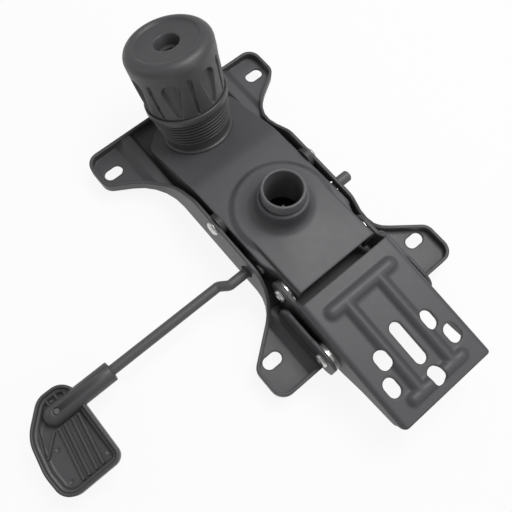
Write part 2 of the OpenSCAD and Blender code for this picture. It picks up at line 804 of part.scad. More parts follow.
module spring_cup() color(zinc) on_knob_axis() rotate_extrude() polygon([
    [bolt_d / 2 + run_gap, cup_top - 2.5], [spring_d / 2 + 1.5, cup_top - 2.5],
    [spring_d / 2 + 1.5, cup_top], [bolt_d / 2 + run_gap, cup_top]
]);

// Centre line of the spring: close wound at both ends, open between
mean_r = (spring_d - spring_wire) / 2;
end_curls = 0.75;
function spring_rise(u) =
    let (
        closed = spring_wire + 0.5,
        free = spring_len - spring_wire - 0.6 - 2 * end_curls * closed,
        mid = max(0, min(spring_curls - 2 * end_curls, u - end_curls))
    )
    min(u, end_curls) * closed + mid * free / (spring_curls - 2 * end_curls)
        + max(0, u - spring_curls + end_curls) * closed;
rings_per_curl = 8;
wire_sides = 6;
spring_point = function (u) [mean_r * cos(360 * u), mean_r * sin(360 * u),
    spring_foot + 0.3 + spring_wire / 2 + spring_rise(u)];

// A tube of wire_sides sides through rings along the coil
module coil() {
    count = ceil(spring_curls * rings_per_curl);
    points = [for (i = [0:count]) let (u = spring_curls * i / count, c = spring_point(u))
        each [for (k = [0:wire_sides - 1]) let (a = 360 * k / wire_sides)
            c + spring_wire / 2 * [cos(a) * cos(360 * u), cos(a) * sin(360 * u), sin(a)]]];
    n = wire_sides;
    sides = [for (i = [0:count - 1], k = [0:n - 1]) let (k2 = (k + 1) % n)
        each [[i * n + k, i * n + k2, (i + 1) * n + k2], [i * n + k, (i + 1) * n + k2, (i + 1) * n + k]]];
    foot = [for (k = [1:n - 2]) [0, k + 1, k]];
    head = [for (k = [1:n - 2]) [count * n, count * n + k, count * n + k + 1]];
    polyhedron(points, concat(sides, foot, head));
}

module tension_spring() color(zinc) on_knob_axis() coil();

// Least gap between one curl and the next, taken on the centre line in small steps
curl_gap = min([for (i = [0:8 * (spring_curls - 1)]) for (j = [-4:4])
    norm(spring_point(i / 8 + 1 + j / 64) - spring_point(i / 8))]) - spring_wire;
echo(curl_gap = curl_gap);

// Boot: a foot band on the nose, tapering ribs and a collar round the skirt of the knob
boot_t = 1.2;
boot_foot_r = spring_d / 2 + 1 + boot_gap + boot_t;
boot_band = 7;
boot_collar_r = knob_skirt_d / 2 + 2.2;
boot_top = skirt + 5;
boot_neck = skirt - 3;
function boot_r(h) = let(share = (h - boot_band) / (boot_neck - boot_band))
    boot_foot_r + (boot_collar_r - 2.5 - boot_foot_r) * share;
boot_pitch = (boot_neck - boot_band) / boot_ribs;
rib_out = 1.3;
rib_profile = [for (i = [0:boot_ribs - 1]) each [
    [boot_r(boot_band + i * boot_pitch) - rib_out, boot_band + (i + 0.15) * boot_pitch],
    [boot_r(boot_band + (i + 0.5) * boot_pitch) + rib_out * 0.6, boot_band + (i + 0.42) * boot_pitch],
    [boot_r(boot_band + (i + 0.5) * boot_pitch) + rib_out * 0.6, boot_band + (i + 0.68) * boot_pitch],
    [boot_r(boot_band + (i + 1) * boot_pitch) - rib_out, boot_band + (i + 0.95) * boot_pitch]
]];

module spring_boot() color(plastic) on_knob_axis() rotate_extrude() polygon(concat(
    [[boot_foot_r - boot_t, 0.1], [boot_foot_r + 1.4, 0.1], [boot_foot_r + 1.4, 1.3],
        [boot_foot_r, 1.6], [boot_foot_r, boot_band]],
    rib_profile,
    [[boot_collar_r - 0.4, boot_neck], [boot_collar_r, boot_neck + 1], [boot_collar_r, boot_top - 1],
        [boot_collar_r - 0.6, boot_top], [boot_collar_r - boot_t - 0.4, boot_top],
        [boot_collar_r - boot_t - 0.4, skirt - 1], [boot_r(boot_neck) - rib_out - boot_t, boot_neck - 0.5]],
    [for (i = [len(rib_profile) - 1:-1:0]) rib_profile[i] - [boot_t, 0]],
    [[boot_foot_r - boot_t, boot_band]]
));

// Knob: domed rim, sunk face, wide tapering recesses with narrow grooves between
face_r = 25.5;
face_sunk = 1.2;
knob_wall = 4;
knob_max_h = knob_reach - 12;

module knob_solid() {
    rotate_extrude() polygon(rounded([
        [0, cup_top + face_gap], [knob_skirt_d / 2 - knob_wall, cup_top + face_gap, 2],
        [knob_skirt_d / 2 - knob_wall + 0.8, skirt + 0.1], [knob_skirt_d / 2, skirt, 0.8],
        [knob_d / 2, knob_max_h, 40], [knob_d / 2 - 1.5, knob_reach, 10],
        [face_r, knob_reach, 1.2], [face_r - 0.3, knob_reach - face_sunk], [0, knob_reach - face_sunk]
    ]));
}

// A cone laid along the side: it cuts wide near the rim and runs out towards the skirt
module wide_recess() {
    top = knob_reach - 15.5;
    foot = skirt + 9;
    top_r = 8;
    foot_r = 4;
    depth = 2;
    slope = atan2(knob_d - knob_skirt_d, 2 * (knob_max_h - skirt));
    length = top - foot;
    translate([knob_skirt_d / 2 - depth * 0.4 + foot_r + (foot - skirt) * tan(slope), 0, foot])
        rotate([0, slope + atan2(top_r - foot_r - depth * 0.6, length), 0]) {
            cylinder(h = length, r1 = foot_r, r2 = top_r);
            translate([0, 0, length]) sphere(r = top_r);
            sphere(r = foot_r);
        }
}

module narrow_groove() {
    r = 2.4;
    slope = atan2(knob_d - knob_skirt_d, 2 * (knob_max_h - skirt));
    foot = skirt + 7;
    length = knob_reach - 17 - foot;
    translate([knob_skirt_d / 2 + r - 1.2 + (foot - skirt) * tan(slope), 0, foot]) rotate([0, slope, 0]) {
        cylinder(h = length, r = r);
        sphere(r = r);
        translate([0, 0, length]) sphere(r = r);
    }
}

nut_r = 14;
nut_h = 12;
module tension_knob() color(plastic) on_knob_axis() difference() {
    knob_solid();
    for (i = [0:knob_recesses - 1]) {
        rotate([0, 0, 360 * i / knob_recesses]) wide_recess();
        rotate([0, 0, 360 * (i + 0.5) / knob_recesses]) narrow_groove();
    }
    translate([0, 0, knob_reach - 13]) cylinder(h = 20, r = 9.75);
    translate([0, 0, cup_top - 1]) cylinder(h = knob_reach, r = bolt_d / 2 + 1);
    translate([0, 0, cup_top - 1]) cylinder(h = nut_h + 1 + face_gap, r = nut_r + run_gap);
}

module knob_nut() color(zinc) on_knob_axis() translate([0, 0, cup_top + face_gap]) difference() {
    cylinder(h = nut_h - face_gap, r = nut_r);
    translate([0, 0, -1]) cylinder(h = nut_h + 2, r = bolt_d / 2 + run_gap);
}

seat_plate();
housing();
gas_lift_collar();
backrest_bracket();
guide_rivets();
guide_washers();
bracket_rivets();
bracket_spacers();
ear_rivets();
ear_spacers();
cross_pin();
lever_rod();
lever_bushes();
rod_clips();
valve_finger();
paddle();
paddle_screw();
lock_pin();
lock_clip();
tension_bolt();
bolt_anchor();
spring_seat();
tension_spring();
spring_cup();
spring_boot();
tension_knob();
knob_nut();
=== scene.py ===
"""Finishes, pressed and moulded pieces and stage for the tilt mechanism of an office chair.

The frame carries the solids. This file coats the pressed sheets, plates the fasteners, and
models the backrest bracket, the rear ears, the tension knob, the ribbed boot over its wound
spring, the height lever and its paddle, on a pale studio floor.
"""

import json
import math

import bmesh
import bpy
from bpy.props import FloatProperty, FloatVectorProperty, IntProperty, PointerProperty
from bpy.types import Operator, Panel, PropertyGroup
from mathutils import Matrix, Vector, geometry, kdtree


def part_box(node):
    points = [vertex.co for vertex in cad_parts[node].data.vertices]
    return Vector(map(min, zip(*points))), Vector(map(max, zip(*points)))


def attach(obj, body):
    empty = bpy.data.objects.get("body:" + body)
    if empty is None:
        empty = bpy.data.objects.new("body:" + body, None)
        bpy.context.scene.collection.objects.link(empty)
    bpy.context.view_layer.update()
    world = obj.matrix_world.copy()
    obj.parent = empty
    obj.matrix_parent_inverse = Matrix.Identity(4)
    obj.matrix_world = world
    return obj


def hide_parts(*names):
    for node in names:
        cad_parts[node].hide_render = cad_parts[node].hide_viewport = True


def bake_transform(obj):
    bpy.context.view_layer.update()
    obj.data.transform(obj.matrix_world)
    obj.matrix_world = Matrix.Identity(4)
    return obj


bl_info = {
    "name": "Chair tilt mechanism",
    "version": (1, 0, 0),
    "blender": (4, 5, 0),
    "location": "View3D > Sidebar > Tilt",
    "description": "Finishes, pressed and moulded pieces and stage for a chair tilt mechanism",
    "category": "Object",
}

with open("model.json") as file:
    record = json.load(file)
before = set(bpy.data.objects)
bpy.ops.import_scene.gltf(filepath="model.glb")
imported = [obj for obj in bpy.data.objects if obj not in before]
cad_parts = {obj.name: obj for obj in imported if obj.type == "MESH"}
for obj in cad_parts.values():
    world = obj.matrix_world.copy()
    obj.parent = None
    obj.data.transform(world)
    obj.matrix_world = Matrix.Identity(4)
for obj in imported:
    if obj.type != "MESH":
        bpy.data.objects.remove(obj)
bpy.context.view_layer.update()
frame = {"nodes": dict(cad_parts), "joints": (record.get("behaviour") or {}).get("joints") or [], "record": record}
MM = 0.001
NODES = frame["nodes"]
JOINTS = {joint["name"]: joint for joint in frame["joints"]}
SLOT_COLOURS = {m["slot"]: tuple(m["base_color"][:3]) for m in frame["record"]["materials"]}

SHEETS = ("seat_plate", "housing", "bolt_anchor")
BRIGHT_PIECES = (
    "guide_rivets", "bracket_rivets", "bracket_spacers", "ear_rivets",
    "ear_spacers", "rod_clips", "lock_clip", "spring_seat", "spring_cup",
    "knob_nut", "valve_finger",
)
# Width in mm of the broken edges of the socket and of the bright pieces
SOCKET_EDGE, BRIGHT_EDGE = 0.3, 0.25
# The other pieces with their finish and the width in mm of their broken edges
OTHER_PIECES = (
    ("lock_pin", "bar", 0.3), ("guide_washers", "nylon", 0), ("cross_pin", "bar", 0),
    ("tension_bolt", "steel", 0.2), ("paddle_screw", "steel", 0), ("lever_bushes", "nylon", 0.2),
)


def leaning_frame(joint):
    """The matrix whose Z runs along a joint's axis and whose origin is the joint's place."""
    z = Vector(joint["axis"]).normalized()
    x = Vector((1, 0, 0))
    y = z.cross(x)
    turn = Matrix((x, y, z)).transposed().to_4x4()
    return Matrix.Translation(Vector(joint["pos_m"])) @ turn


KNOB_FRAME = leaning_frame(JOINTS["knob_turn"])


# Mesh helpers

# Points round a slot or a hole, and round each corner of the paddle
HOLE_POINTS = 32
CORNER_POINTS = 14
# Radius in mm that a corner keeps when its outline moves inwards past it
SMALLEST_R = 0.02
# How far the inner points of a flat pattern stay from its edges, as a share of their step
CLEAR_OF_EDGE = 0.6
# The way of cutting a flat pattern into triangles that keeps only its inside
INSIDE_ONLY = 2
# Gap in metres that is closed as a seam, and the angle under which faces count as one
SEAM = 2e-6
FLAT_ANGLE = math.radians(0.3)


def new_piece(name, vertices, faces, material, sharp_degrees=40):
    """A mesh object with smooth shading and sharp edges where it turns by more than an angle."""
    mesh = bpy.data.meshes.new(name)
    mesh.from_pydata([tuple(v) for v in vertices], [], faces)
    bm = bmesh.new()
    bm.from_mesh(mesh)
    bmesh.ops.recalc_face_normals(bm, faces=bm.faces)
    bm.to_mesh(mesh)
    bm.free()
    mesh.polygons.foreach_set("use_smooth", [True] * len(mesh.polygons))
    mesh.set_sharp_from_angle(angle=math.radians(sharp_degrees))
    mesh.materials.append(material)
    piece = bpy.data.objects.new(name, mesh)
    bpy.context.scene.collection.objects.link(piece)
    return piece


def lathe(profile, segments, matrix, radius_at=None):
    """Vertices and faces of a closed profile of (radius, height) points in mm, turned about Z."""
    vertices, faces = [], []
    count = len(profile)
    for i in range(segments):
        angle = 2 * math.pi * i / segments
        for r, h in profile:
            radius = radius_at(r, h, angle) if radius_at else r
            point = Vector((radius * math.cos(angle), radius * math.sin(angle), h)) * MM
            vertices.append(matrix @ point)
    for i in range(segments):
        a, b = i * count, (i + 1) % segments * count
        for k in range(count):
            k2 = (k + 1) % count
            faces.append((a + k, b + k, b + k2, a + k2))
    return vertices, faces


def tube(points, radius, sides, matrix):
    """A round tube through points in mm, closed at both ends."""
    vertices, faces = [], []
    side = None
    for i, p in enumerate(points):
        ahead = points[min(i + 1, len(points) - 1)] - points[max(i - 1, 0)]
        ahead.normalize()
        if side is None:
            side = ahead.orthogonal().normalized()
        side = (side - ahead * side.dot(ahead)).normalized()
        other = ahead.cross(side)
        for k in range(sides):
            angle = 2 * math.pi * k / sides
            offset = side * math.cos(angle) + other * math.sin(angle)
            vertices.append(matrix @ ((p + offset * radius) * MM))
    for i in range(len(points) - 1):
        for k in range(sides):
            k2 = (k + 1) % sides
            a, b = i * sides, (i + 1) * sides
            faces.append((a + k, a + k2, b + k2, b + k))
    faces.append(tuple(range(sides)))
    faces.append(tuple((len(points) - 1) * sides + k for k in range(sides)))
    return vertices, faces


def arc_points(centre, radius, start, end, count):
    """Points of an arc in the plane of radius and height, with angles in degrees."""
    made = []
    for i in range(count + 1):
        angle = math.radians(start + (end - start) * i / count)
        made.append((centre[0] + radius * math.cos(angle), centre[1] + radius * math.sin(angle)))
    return made


def smoothstep(low, high, value):
    """Runs from 0 at low to 1 at high, level at both ends, whichever of them is larger."""
    share = min(1.0, max(0.0, (value - low) / (high - low)))
    return share * share * (3 - 2 * share)


def corner_arc(corners, i):
    """Centre, start from the centre and turn of the arc that rounds an (x, y, radius) corner."""
    x, y, radius = corners[i]
    here = Vector((x, y))
    back = (Vector(corners[i - 1][:2]) - here).normalized()
    ahead = (Vector(corners[(i + 1) % len(corners)][:2]) - here).normalized()
    half = back.angle(ahead) / 2
    centre = here + (back + ahead).normalized() * radius / math.sin(half)
    start = here + back * radius / math.tan(half) - centre
    turn = (here + ahead * radius / math.tan(half) - centre).angle_signed(start)
    return centre, start, turn


def swept(centre, start, turn, count):
    """Points of an arc from its centre, its start from the centre and its turn."""
    made = []
    for k in range(count + 1):
        spot = start.copy()
        spot.rotate(Matrix.Rotation(turn * k / count, 2))
        made.append(centre + spot)
    return made


def rounded(corners, step=1.0):
    """An outline given as (x, y, radius) corners, its round parts as arcs."""
    made = []
    for i, (x, y, radius) in enumerate(corners):
        if not radius:
            made.append(Vector((x, y)))
            continue
        centre, start, turn = corner_arc(corners, i)
        made += swept(centre, start, turn, max(3, math.ceil(abs(turn) * radius / step)))
    return made


def even(ring, step):
    """The same closed outline with its long stretches cut into even steps."""
    made = []
    for i, here in enumerate(ring):
        ahead = ring[(i + 1) % len(ring)]
        count = max(1, round((ahead - here).length / step))
        made += [here.lerp(ahead, k / count) for k in range(count)]
    return made


def slot_ring(centre, length, width):
    """The outline of a slot that runs along the second axis, or a round hole."""
    x, y = centre
    r = width / 2
    run = (length - width) / 2
    made = []
    for i in range(HOLE_POINTS):
        angle = math.pi * (2 * i + 1) / HOLE_POINTS
        lift = run if math.sin(angle) > 0 else -run
        made.append(Vector((x + r * math.cos(angle), y + lift + r * math.sin(angle))))
    return made


def middle(points, face):
    """The mean place of a face's corners."""
    return sum((points[i] for i in face), Vector((0, 0))) / len(face)


def encloses(ring, point):
    """Whether a convex outline that runs anticlockwise holds a point."""
    if (point - ring[0]).length > 2 * max((ring[0] - p).length for p in ring[::8]):
        return False
    for i, here in enumerate(ring):
        side, toward = ring[(i + 1) % len(ring)] - here, point - here
        if side.x * toward.y - side.y * toward.x < 0:
            return False
    return True


def folded_sheet(name, rings, fold, thickness, step, material):
    """A pressed sheet: its flat pattern, cut into small triangles, folded and given thickness."""
    points, edges = [], []
    for ring in rings:
        ring = even(ring, step)
        first = len(points)
        points += ring
        edges += [(first + i, first + (i + 1) % len(ring)) for i in range(len(ring))]
    near = kdtree.KDTree(len(points))
    for i, point in enumerate(points):
        near.insert(point.to_3d(), i)
    near.balance()
    low = [min(p[k] for p in points) for k in (0, 1)]
    high = [max(p[k] for p in points) for k in (0, 1)]
    rows = int((high[1] - low[1]) / step)
    columns = int((high[0] - low[0]) / step)
    for row in range(1, rows):
        for column in range(1, columns):
            spot = Vector((low[0] + (column + 0.5 * (row % 2)) * step, low[1] + row * step))
            if near.find(spot.to_3d())[2] > CLEAR_OF_EDGE * step:
                points.append(spot)
    flat, _, faces, *_ = geometry.delaunay_2d_cdt(points, edges, [], INSIDE_ONLY, 1e-5)
    holes = rings[1:]
    faces = [f for f in faces if not any(encloses(hole, middle(flat, f)) for hole in holes)]
    count = len(flat)
    vertices = [fold(p[0], p[1], 0.0) for p in flat] + [fold(p[0], p[1], thickness) for p in flat]
    walls = {}
    for face in faces:
        for i, a in enumerate(face):
            b = face[(i + 1) % len(face)]
            if not walls.pop((b, a), False):
                walls[(a, b)] = True
    all_faces = [tuple(face) for face in faces]
    all_faces += [tuple(count + i for i in reversed(face)) for face in faces]
    all_faces += [(b, a, count + a, count + b) for a, b in walls]
    return new_piece(name, vertices, all_faces, material, sharp_degrees=50)


def round_edges(piece, width_mm, degrees):
    """Rounds the edges of a piece that turn by more than an angle, with a modifier."""
    bevel = piece.modifiers.new("Broken edges", "BEVEL")
    bevel.width = width_mm * MM
    bevel.segments = 2
    bevel.limit_method = "ANGLE"
    bevel.angle_limit = math.radians(degrees)
    bevel.harden_normals = True
    return bevel


def break_edges(node, width_mm):
    """Rounds the sharp edges of a CAD node with modifiers, which leave its own mesh alone."""
    piece = NODES[node]
    mesh = piece.data
    if "custom_normal" in mesh.attributes:
        mesh.attributes.remove(mesh.attributes["custom_normal"])
    mesh.polygons.foreach_set("use_smooth", [True] * len(mesh.polygons))
    weld = piece.modifiers.new("Joined seams", "WELD")
    weld.merge_threshold = SEAM
    flat = piece.modifiers.new("Flat faces", "DECIMATE")
    flat.decimate_type = "DISSOLVE"
    flat.angle_limit = FLAT_ANGLE
    cut = piece.modifiers.new("Cut faces", "TRIANGULATE")
    cut.min_vertices = 5
    round_edges(piece, width_mm, degrees=30).miter_outer = "MITER_ARC"


def dress(node, finish, edge_mm=0):
    """Gives a CAD node one finish and, where a width is given, broken edges."""
    mesh = NODES[node].data
    mesh.materials.clear()
    mesh.materials.append(finishes()[finish])
    if edge_mm:
        break_edges(node, edge_mm)


# Finishes

# Which of the Mix node's sockets hold its factor, its two colours and its resulting colour
MIX_FACTOR, MIX_COLOURS, MIX_RESULT = 0, (6, 7), 2


def worked_out(tree, operation, first, second):
    """The outcome of a sum in a node tree on two values, each a socket or a number."""
    node = tree.nodes.new("ShaderNodeMath")
    node.operation = operation
    for socket, value in zip(node.inputs, (first, second)):
        if isinstance(value, float):
            socket.default_value = value
        else:
            tree.links.new(value, socket)
    return node.outputs[0]


class Finish:
    """Builds one procedural finish out of object coordinates, noise and bump."""

    def __init__(self, name, roughness, metallic=0.0, specular=0.5):
        self.material = bpy.data.materials.new(name)
        self.material.use_nodes = True
        self.tree = self.material.node_tree
        self.nodes, self.links = self.tree.nodes, self.tree.links
        self.shader = self.nodes["Principled BSDF"]
        self.shader.inputs["Roughness"].default_value = roughness
        self.shader.inputs["Metallic"].default_value = metallic
        self.shader.inputs["Specular IOR Level"].default_value = specular
        self.place = self.nodes.new("ShaderNodeTexCoord").outputs["Object"]

    def noise(self, size_mm, detail=2.0, roughness=0.5):
        """Noise whose grains are about that many millimetres wide."""
        node = self.nodes.new("ShaderNodeTexNoise")
        node.inputs["Scale"].default_value = 1 / (size_mm * MM)
        node.inputs["Detail"].default_value = detail
        node.inputs["Roughness"].default_value = roughness
        self.links.new(self.place, node.inputs["Vector"])
        return node.outputs["Fac"]

    def spread(self, value, low, high, from_low=0.3, from_high=0.7):
        """Maps a value onto a range, by default from the middle of what noise gives."""
        node = self.nodes.new("ShaderNodeMapRange")
        node.inputs["From Min"].default_value = from_low
        node.inputs["From Max"].default_value = from_high
        node.inputs["To Min"].default_value = low
        node.inputs["To Max"].default_value = high
        self.links.new(value, node.inputs["Value"])
        return node.outputs["Result"]

    def mix(self, share, first, second):
        """A colour between two, each a socket or a colour."""
        node = self.nodes.new("ShaderNodeMix")
        node.data_type = "RGBA"
        self.links.new(share, node.inputs[MIX_FACTOR])
        for place, value in zip(MIX_COLOURS, (first, second)):
            if isinstance(value, tuple):
                node.inputs[place].default_value = (*value, 1.0)
            else:
                self.links.new(value, node.inputs[place])
        return node.outputs[MIX_RESULT]

    def mottle(self, colour, size_mm, amount):
        """A base colour that drifts a little lighter and darker over the surface."""
        darker = tuple(c * (1 - amount) for c in colour)
        lighter = tuple(c * (1 + amount) for c in colour)
        share = self.spread(self.noise(size_mm, 4.0, 0.6), 0.0, 1.0)
        return self.mix(share, darker, lighter)

    def soft_normal(self, radius_mm, samples=6):
        """A normal that turns gently round every edge, as pressed sheet does."""
        bevel = self.nodes.new("ShaderNodeBevel")
        bevel.samples = samples
        bevel.inputs["Radius"].default_value = radius_mm * MM
        return bevel.outputs["Normal"]

    def edge_mask(self, radius_mm):
        """Near 1 on worn edges, found where a rounded normal leaves the real one."""
        turned = self.soft_normal(radius_mm, 4)
        true = self.nodes.new("ShaderNodeNewGeometry").outputs["Normal"]
        dot = self.nodes.new("ShaderNodeVectorMath")
        dot.operation = "DOT_PRODUCT"
        self.links.new(turned, dot.inputs[0])
        self.links.new(true, dot.inputs[1])
        return self.spread(dot.outputs["Value"], 1.0, 0.0, from_low=0.8, from_high=0.98)

    def bump(self, heights, normal=None):
        """Stacks bumps given as (height socket, strength, distance in mm)."""
        for height, strength, distance_mm in heights:
            node = self.nodes.new("ShaderNodeBump")
            node.inputs["Strength"].default_value = strength
            node.inputs["Distance"].default_value = distance_mm * MM
            self.links.new(height, node.inputs["Height"])
            if normal:
                self.links.new(normal, node.inputs["Normal"])
            normal = node.outputs["Normal"]
        self.links.new(normal, self.shader.inputs["Normal"])

    def colour(self, socket):
        """Links the base colour."""
        self.links.new(socket, self.shader.inputs["Base Color"])

    def roughen(self, size_mm, detail, low, high):
        """Lets the roughness drift over the surface between two values."""
        drift = self.spread(self.noise(size_mm, detail), low, high)
        self.links.new(drift, self.shader.inputs["Roughness"])


def powder_coat(name, colour, roughness, bend_mm):
    """Satin powder coat: fine orange peel, slight drift of tone, edges rubbed a little paler."""
    made = Finish(name, roughness)
    worn = tuple(min(1.0, c * 1.5 + 0.01) for c in colour)
    tone = made.mottle(colour, 6, 0.03)
    rubbed = made.spread(made.noise(3.0, 3.0, 0.7), 0.15, 0.8)
    edges = worked_out(made.tree, "MULTIPLY", made.edge_mask(0.9), rubbed)
    made.colour(made.mix(edges, tone, worn))
    made.roughen(7, 3.0, roughness - 0.015, roughness + 0.015)
    peel = [(made.noise(1.1, 1.0), 0.10, 0.12), (made.noise(0.35, 2.0), 0.12, 0.05)]
    made.bump(peel, made.soft_normal(bend_mm))
    return made.material


def moulded_plastic(name, colour, roughness, grain_mm, grain_depth):
    """Grained plastic: fine spark texture in the bump, little change of tone."""
    made = Finish(name, roughness)
    made.colour(made.mottle(colour, 9, 0.06))
    made.roughen(4, 3.0, roughness - 0.04, roughness + 0.05)
    made.bump([
        (made.noise(grain_mm * 3, 2.0), 0.08, grain_depth),
        (made.noise(grain_mm, 3.0, 0.65), 0.22, grain_depth),
    ])
    return made.material


def plated_steel(name, colour, roughness, dullness):
    """Zinc plating: a bright metal with cloudy patches and fine turning marks."""
    made = Finish(name, roughness, metallic=1.0)
    cloudy = made.spread(made.noise(2.2, 4.0, 0.6), 0.0, 1.0)
    dull = tuple(c * (1 - dullness) for c in colour)
    made.colour(made.mix(cloudy, dull, colour))
    made.roughen(1.2, 3.0, roughness - 0.07, roughness + 0.12)
    made.bump([(made.noise(0.5, 2.0), 0.08, 0.05)])
    return made.material


MATERIALS = {}


def lifted(slot, gain):
    """A slot's colour made paler by a factor."""
    return tuple(c * gain for c in SLOT_COLOURS[slot])


def finishes():
    """The object's finishes, made once."""
    if MATERIALS:
        return MATERIALS
    settings = bpy.context.scene.tilt_finish
    # Key, name, colour and radius in mm of the softened bends
    coats = (
        ("coat", "Black powder coat", tuple(settings.coat_colour), 2.4),
        ("bar", "Black coat on bar", lifted("rod_coat", 1.7), 0.5),
        ("socket", "Black coat on socket", lifted("socket_steel", 1.7), 0.5),
    )
    for key, name, colour, bend_mm in coats:
        MATERIALS[key] = powder_coat(name, colour, settings.coat_roughness, bend_mm)
    # Key, name, colour, roughness, and size and depth in mm of the grain
    plastics = (
        ("knob", "Grained knob plastic", tuple(settings.plastic_colour), 0.46, 0.28, 0.05),
        ("boot", "Soft boot plastic", lifted("boot_plastic", 1.6), 0.42, 0.5, 0.03),
        ("nylon", "Black nylon", SLOT_COLOURS["nylon"], 0.5, 0.4, 0.03),
    )
    for key, name, colour, roughness, grain_mm, grain_depth in plastics:
        MATERIALS[key] = moulded_plastic(name, colour, roughness, grain_mm, grain_depth)
    # Key, name, colour, roughness and how much darker the dull patches are
    metals = (
        ("zinc", "Bright zinc plating", tuple(settings.zinc_colour), 0.3, 0.18),
        ("steel", "Oiled steel", SLOT_COLOURS["dark_steel"], 0.38, 0.3),
        ("spring", "Spring steel", SLOT_COLOURS["spring_steel"], 0.36, 0.3),
    )
    for key, name, colour, roughness, dullness in metals:
        MATERIALS[key] = plated_steel(name, colour, roughness, dullness)
    return MATERIALS


# Settings


class TiltFinish(PropertyGroup):
    """Colours and gloss of the surfaces."""

    coat_colour: FloatVectorProperty(
        name="Coat colour", description="Colour of the powder coat on the pressed sheets",
        subtype="COLOR", size=3, min=0, max=1, default=lifted("coat", 1.5),
    )
    coat_roughness: FloatProperty(
        name="Coat roughness", description="Roughness of the powder coat",
        subtype="FACTOR", min=0.1, max=0.9, default=0.48,
    )
    plastic_colour: FloatVectorProperty(
        name="Knob colour", description="Colour of the knob and the paddle",
        subtype="COLOR", size=3, min=0, max=1, default=lifted("grip_plastic", 1.1),
    )
    zinc_colour: FloatVectorProperty(
        name="Zinc colour", description="Colour of the plated rivets and spacers",
        subtype="COLOR", size=3, min=0, max=1, default=SLOT_COLOURS["zinc"],
    )
    sheet_step: FloatProperty(
        name="Sheet step", description="Size of the triangles of the folded bracket",
        subtype="DISTANCE", unit="LENGTH", min=0.0008, max=0.004, default=0.0013,
    )
    edge_width: FloatProperty(
        name="Edge width", description="Width of the broken edges of the pressed sheets",
        subtype="DISTANCE", unit="LENGTH", min=0.0001, max=0.002, default=0.0005,
    )


class TiltKnob(PropertyGroup):
    """Sizes of the moulded knob and its boot."""

    recesses: IntProperty(
        name="Wide recesses", description="Number of wide recesses round the knob",
        min=4, max=10, default=7,
    )
    recess_depth: FloatProperty(
        name="Recess depth", description="Depth of the wide recesses at their top",
        subtype="DISTANCE", unit="LENGTH", min=0.0005, max=0.004, default=0.0034,
    )
    boot_ribs: IntProperty(
        name="Boot ribs", description="Number of ribs on the boot", min=3, max=9, default=7,
    )


class TiltStage(PropertyGroup):
    """Camera and light."""

    azimuth: FloatProperty(
        name="Azimuth", description="Where the camera stands round the object",
        subtype="ANGLE", default=math.radians(134.70),
    )
    elevation: FloatProperty(
        name="Elevation", description="How far the camera stands above the floor",
        subtype="ANGLE", default=math.radians(71.08),
    )
    roll: FloatProperty(
        name="Roll", description="Turn of the camera about its own line of sight",
        subtype="ANGLE", default=math.radians(5.47),
    )
    distance: FloatProperty(
        name="Distance", description="From the camera to the point that it looks at",
        subtype="DISTANCE", unit="LENGTH", default=0.47483,
    )
    target: FloatVectorProperty(
        name="Target", description="The point that the camera looks at",
        subtype="TRANSLATION", size=3, default=(0.03083, 0.02891, 0.0),
    )
    lens: FloatProperty(
        name="Lens", description="Focal length in millimetres on a 36 mm sensor",
        min=10, max=200, default=42.19,
    )
    floor_drop: FloatProperty(
        name="Floor drop", description="How far the floor lies under the seat face",
        subtype="DISTANCE", unit="LENGTH", min=0, max=0.1, default=0.011,
    )
    key_power: FloatProperty(
        name="Key light", description="Power of the large soft light in watts",
        min=0, max=200, default=8.0,
    )


# Sizes of the bracket and the ears in mm, places in the side view as (y, z)

BRACKET_FRONT = (88.5, 46.1)
BRACKET_LEAN = math.radians(5.5)
BRACKET_LENGTH = 108.0
BRACKET_THICKNESS = 3.0
BRACKET_PIVOT, PIVOT_HOLE = (70.0, 26.0), 8.2
EAR_PIVOT, EAR_HOLE = (124.0, 18.0), 10.0
# Outer face and thickness of the ears, and their corners as (y from the pivot, z, radius)
EAR_FACE, EAR_THICKNESS = 49.6, 2.7
EAR_CORNERS = (
    (-30, 14, 6), (-8, 8, 6), (12.4, 8, 6), (12.4, 31, 11), (-42, 31, 8), (-49, 14, 5),
)
# Radius of the bend between the bracket's sheet and its side walls
BEND = 3.8
# The arm of the bracket in the side view, from its top edge round the pivots to the rear
ARM_CORNERS = (
    (82.5, 38.1, 6), (59.2, 36.8, 10.6), (59.2, 15.2, 10.6), (114, 7.5, 20), (139, 8.5, 20),
    (160, 17.5, 20),
)
# How far round the bend the front corners of the pattern lie, as a share of it
FRONT_CORNER = 0.6
# Rear corners of the side walls as depth and radius, and how far before the sheet's end they lie
WALL_ENDS, WALL_SHORT = ((12.5, 4), (7.0, 6)), 5.0
# How far past its flat part the rear corners of the sheet lie, and their radius
REAR_CORNER = (1.5, 6)
# Places along the bracket of the two ribs across it, and place across it of the two along it
RIB_FRONT, RIB_REAR, RIB_SIDE = 16.5, 96.0, 15.5
RIB_HEIGHT, RIB_HALF_WIDTH = 3.7, 5.4
# Share of a rib's half width from which its foot runs out into the sheet
RIB_FOOT = 0.75
# Each rib across the bracket as its place, how far its middle line reaches, and its half width
CROSS_RIBS = ((RIB_FRONT, 27.5, 6.4), (RIB_REAR, 23.5, 5.6))
# Slots as places across and along, then length and width
SLOT_PAIRS, PAIR_SLOT = ((22.3, 63.5), (29.7, 81.2)), (15.0, 10.5)
MIDDLE_SLOTS = ((66, 35, 10), (95, 14.5, 11))

# Sizes of the knob in mm: places along its axis and radii

KNOB_SKIRT, KNOB_TOP = 33.5, 86.0
FACE_SUNK = 1.7
KNOB_FOOT_R, KNOB_BULGE = 31.0, 0.5
RIM_R, RIM_CENTRE_R = 7.4, 26.8
# The deep hole in the face, the hole for the bolt, and the height of the floor between them
FACE_HOLE_R, BOLT_HOLE_R, HOLE_FLOOR = 9.75, 6.0, 75.0
